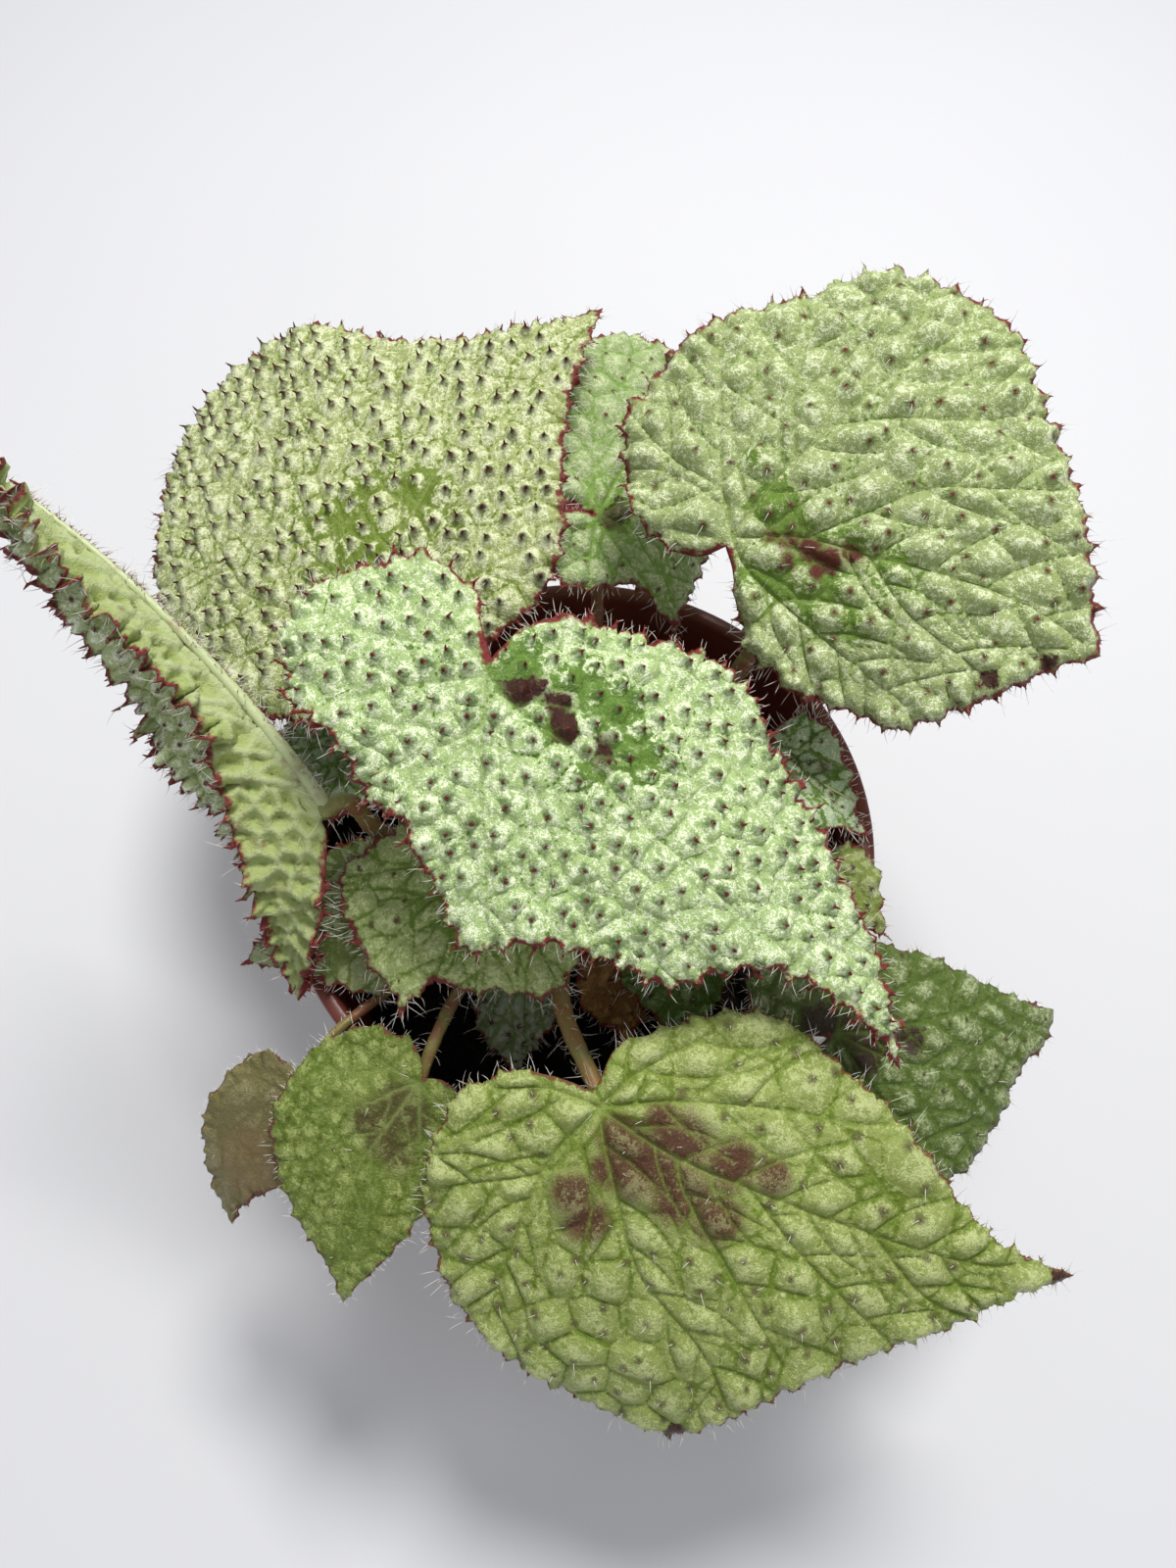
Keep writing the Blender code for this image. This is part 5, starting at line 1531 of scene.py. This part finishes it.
def rhizome_material():
    paint = Paint("rhizome_bark")
    coarse, fine = paint.noise(220, 4, 0.6), paint.noise(1500, 3)
    colour = paint.mix(BARK_DARK, BARK_LIGHT, paint.step(paint.add(coarse, (fine, 0.5)), -0.2, 0.3))
    return paint.finish(colour, paint.add((fine, 0.3), 0.75), paint.add(coarse, fine), 0.6)


def floor_material():
    paint = Paint("floor_paint")
    cloud = paint.noise(3, 2)
    colour = paint.mix(FLOOR_LOW, FLOOR_HIGH, paint.add(cloud, 0.5))
    return paint.finish(colour, paint.add((cloud, 0.1), 0.7))


# Pieces


def dressed(obj, material, slot, *nodes):
    """Gives the piece its material, and lets it stand for these nodes of the frame. The slot is not used."""
    obj.data.materials.append(material)
    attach(obj, "root")
    if nodes:
        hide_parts(*nodes)
    return obj


def make_leaf(name, leaf):
    look = dict(BASE_LOOK, **LOOKS[name])
    slot = name.replace("leaf_", "blade_")
    sheet = blade_sheet(name, leaf, look)
    dressed(blade_object(name + "_skin", sheet), leaf_material(name + "_skin", look), slot, name + "_blade")
    hair = hair_material(name + "_hair", look)
    dressed(blade_hairs(name + "_hairs", leaf, look, sheet), hair, slot)
    dressed(blade_ribs(name + "_ribs", leaf, look, sheet), rib_material(name + "_ribs", look), slot)
    stalk, hairs = stalk_objects(name + "_stalk", leaf, look)
    dressed(stalk, stalk_material(name + "_stalk", look["stalk"]), "stalk", name + "_stalk")
    dressed(hairs, hair, "stalk")


def turned_body(profile, sides):
    """Places and faces of a body turned from a profile whose two ends lie on the axis."""
    angles = 2 * np.pi * np.arange(sides) / sides
    rings = [np.stack([radius * np.cos(angles), radius * np.sin(angles), np.full(sides, height)], 1)
             for radius, height in profile[1:-1]]
    places = np.vstack([*rings, [[0, 0, profile[0][1]]], [[0, 0, profile[-1][1]]]])
    faces = ring_quads(len(rings), sides)
    start, end, last = len(places) - 2, len(places) - 1, (len(rings) - 1) * sides
    for side in range(sides):
        after = (side + 1) % sides
        faces += [(start, after, side), (end, last + side, last + after)]
    return places, faces


def outward(obj):
    """Turns every face outward."""
    shape = bmesh.new()
    shape.from_mesh(obj.data)
    bmesh.ops.recalc_face_normals(shape, faces=shape.faces)
    shape.to_mesh(obj.data)
    shape.free()


def pot_outer_radius(height):
    slope = (POT_RIM_RADIUS - POT_BAND_STEP - POT_FOOT_RADIUS) / POT_HEIGHT
    return POT_FOOT_RADIUS + slope * height


def pot_inner_radius(height):
    return pot_outer_radius(height) - POT_WALL


def pot_profile():
    """The solid's profile with its lip, band and foot rounded."""
    rim, foot, lip = POT_RIM_RADIUS, POT_FOOT_RADIUS, POT_HEIGHT - POT_LIP_RADIUS
    band_foot = POT_HEIGHT - POT_BAND_HEIGHT
    wall_top, lip_inner = pot_outer_radius(band_foot), pot_inner_radius(POT_HEIGHT)
    band = wall_top + POT_BAND_STEP
    inner = [(pot_inner_radius(height), height) for height in np.linspace(POT_FLOOR + 1.2, lip - 0.4, 24)]
    wall = [(pot_outer_radius(height), height) for height in np.linspace(band_foot - 1.4, 1.6, 28)]
    corner = inner[0][0]
    return [
        # Floor and inner face
        (0, POT_FLOOR), (12, POT_FLOOR), (corner - 1.2, POT_FLOOR), (corner - 0.4, POT_FLOOR + 0.4), *inner,
        # Rolled lip
        (lip_inner + 0.15, lip + 0.5), (lip_inner + 0.5, POT_HEIGHT - 0.15), (lip_inner + 0.9, POT_HEIGHT),
        (rim - 0.9, POT_HEIGHT), (rim - 0.35, POT_HEIGHT - 0.2), (rim - 0.05, lip + 0.4), (rim, lip - 0.2),
        (rim - 0.15, lip - 0.8), (rim - 0.5, lip - 1.2), (rim - 0.55, lip - 2.2),
        # Band, with a slight hollow
        (0.5 * (rim + band) - 0.28, 0.5 * (lip + band_foot)),
        (band, band_foot + 0.8), (band - 0.1, band_foot + 0.2), (band - 0.4, band_foot - 0.1),
        (wall_top + 0.4, band_foot - 0.5), (wall_top + 0.05, band_foot - 0.9), *wall,
        # Foot and underside
        (foot + 0.05, 0.7), (foot - 0.35, 0.2), (foot - 1.0, 0), (foot - 3.0, 0), (foot - 3.5, 0.6),
        (12, 0.6), (0, 0.6),
    ]


def drain_cutter():
    """Short rods where the drain holes are."""
    shape = bmesh.new()
    for index in range(DRAIN_HOLES):
        angle = 2 * math.pi * (index + 0.5) / DRAIN_HOLES
        place = Vector((math.cos(angle), math.sin(angle), 0)) * DRAIN_CIRCLE_RADIUS * MM
        bmesh.ops.create_cone(
            shape, cap_ends=True, segments=28, depth=4 * POT_FLOOR * MM, radius1=DRAIN_HOLE_RADIUS * MM,
            radius2=DRAIN_HOLE_RADIUS * MM, matrix=Matrix.Translation(place),
        )
    return shape_object("drain_cutter", shape)


def make_pot():
    """The pot turned finely, with its drain holes cut."""
    pot = new_mesh("pot_skin", *turned_body(pot_profile(), POT_FINE_SIDES))
    outward(pot)
    cutter = drain_cutter()
    holes = pot.modifiers.new("drain_holes", "BOOLEAN")
    holes.operation, holes.object, holes.solver = "DIFFERENCE", cutter, "EXACT"
    bpy.context.view_layer.update()
    cut = bpy.data.meshes.new_from_object(pot.evaluated_get(bpy.context.evaluated_depsgraph_get()))
    pot.modifiers.clear()
    pot.data = cut
    bpy.data.objects.remove(cutter, do_unlink=True)
    dressed(pot, pot_material(), "pot_plastic", "pot")


def soil_lump(x, y):
    coarse = np.sin(0.31 * x + 1.3) * np.cos(0.27 * y - 0.4)
    fine = np.sin(0.83 * x - 0.55 * y) * np.cos(0.71 * y + 0.62 * x + 2.0)
    return SOIL_LUMP * (0.55 * coarse + 0.45 * fine)


def soil_edge():
    return pot_inner_radius(SOIL_TOP) - SOIL_GAP


def soil_height(x, y):
    share = np.minimum(np.hypot(x, y) / soil_edge(), 1.0)
    return SOIL_TOP + SOIL_DOME * (1 - share**2) + soil_lump(x, y)


def make_soil():
    """The lumpy filling, and loose crumbs that lie on it."""
    draw = random.Random("soil")
    floor = POT_FLOOR + SOIL_GAP
    profile = [(radius, SOIL_TOP) for radius in np.linspace(0, soil_edge(), SOIL_FINE_RINGS)]
    profile += [(pot_inner_radius(floor) - SOIL_GAP, floor), (0, floor)]
    places, faces = turned_body(profile, SOIL_FINE_SIDES)
    upper = places[:, 2] > SOIL_TOP - 1
    x, y = places[upper, 0], places[upper, 1]
    rough = np.array([draw.gauss(0, SOIL_ROUGH) for _ in x]) * (np.hypot(x, y) < soil_edge() - 0.5)
    places[upper, 2] = soil_height(x, y) + rough
    soil = new_mesh("soil_skin", places, faces)
    outward(soil)
    material = soil_material()
    dressed(soil, material, "soil", "soil")
    dressed(soil_crumbs(draw), material, "soil")


def soil_crumbs(draw):
    """Loose crumbs of many sizes, half sunk in the soil's face."""
    shape = bmesh.new()
    for _ in range(CRUMBS):
        reach, angle = (soil_edge() - 2.5) * math.sqrt(draw.random()), draw.uniform(0, 2 * math.pi)
        x, y = reach * math.cos(angle), reach * math.sin(angle)
        size = draw.choice(CRUMB_SIZES)
        place = Vector((x, y, float(soil_height(x, y)) + 0.25 * size)) * MM
        stretch = Matrix.Diagonal([*[draw.uniform(*spread) for spread in CRUMB_SPREADS], 1])
        turn, tilt = draw.uniform(0, 6.3), draw.uniform(-0.5, 0.5)
        spin = Matrix.Rotation(turn, 4, "Z") @ Matrix.Rotation(tilt, 4, "X")
        made = bmesh.ops.create_icosphere(shape, subdivisions=1, radius=size * MM,
                                          matrix=Matrix.Translation(place) @ spin @ stretch)
        for vert in made["verts"]:
            vert.co += Vector([draw.uniform(-CRUMB_ROUGH, CRUMB_ROUGH) * size * MM for _ in range(3)])
    return shape_object("soil_crumbs", shape)


def make_rhizome():
    """The stout stem, swollen and rough at its leaf scars."""
    path = spline(np.array(RHIZOME_PATH, float), 12)
    share = np.linspace(0, 1, len(path))
    blunt = np.minimum(1.0, RHIZOME_TIP + 3.0 * (1 - share))
    radii = RHIZOME_RADIUS * blunt * (1 + RHIZOME_SCAR * np.cos(math.pi * share * 2 * RHIZOME_SCARS))
    draw = random.Random("rhizome")
    rough = [[draw.uniform(-BARK_ROUGH, BARK_ROUGH) for _ in range(RHIZOME_SIDES)] for _ in path]
    rings = roughened(path, tube_rings(path, radii, RHIZOME_SIDES), 1 + np.array(rough))
    rhizome = new_mesh("rhizome_skin", rings.reshape(-1, 3), ring_faces(len(path), RHIZOME_SIDES))
    dressed(rhizome, rhizome_material(), "rhizome", "rhizome")


# Floor, light and camera


def make_floor():
    corners = FLOOR_HALF * np.array([(-1, -1, 0), (1, -1, 0), (1, 1, 0), (-1, 1, 0)])
    floor = new_mesh("floor", corners, [(0, 1, 2, 3)])
    floor.data.materials.append(floor_material())


def add_light(name, place, size, power, colour):
    """A round area light that shines on the middle of the plant."""
    data = bpy.data.lights.new(name, "AREA")
    data.shape, data.size = "DISK", size
    data.energy, data.color = power, colour
    light = linked(name, data)
    light.location = place
    light.rotation_euler = (Vector(LIT_PLACE) - Vector(place)).to_track_quat("-Z", "Y").to_euler()


def make_lights():
    """A small key light from behind, a broad fill from the front and a pale surrounding."""
    add_light("key", place=(0.10, 0.33, 0.86), size=0.25, power=6.7, colour=(1.0, 0.99, 0.96))
    add_light("fill", place=(0.3, -0.9, 0.9), size=1.0, power=1.5, colour=(0.97, 0.98, 1.0))
    world = bpy.data.worlds.new("studio")
    world.use_nodes = True
    background = world.node_tree.nodes["Background"]
    background.inputs["Color"].default_value = (0.96, 0.97, 1.0, 1.0)
    background.inputs["Strength"].default_value = SURROUNDING
    bpy.context.scene.world = world
    bpy.context.scene.view_settings.view_transform = "Standard"


def make_camera():
    data = bpy.data.cameras.new("camera")
    data.sensor_width, data.lens, data.clip_start = 36, CAMERA_LENS, 0.01
    camera = linked("camera", data)
    camera.location = CAMERA_PLACE
    camera.rotation_euler = (math.radians(CAMERA_TILT), 0, 0)
    bpy.context.scene.camera = camera


def main():
    for name, leaf in LEAVES.items():
        make_leaf(name, leaf)
    make_pot()
    make_soil()
    make_rhizome()
    make_floor()
    make_lights()
    make_camera()


main()
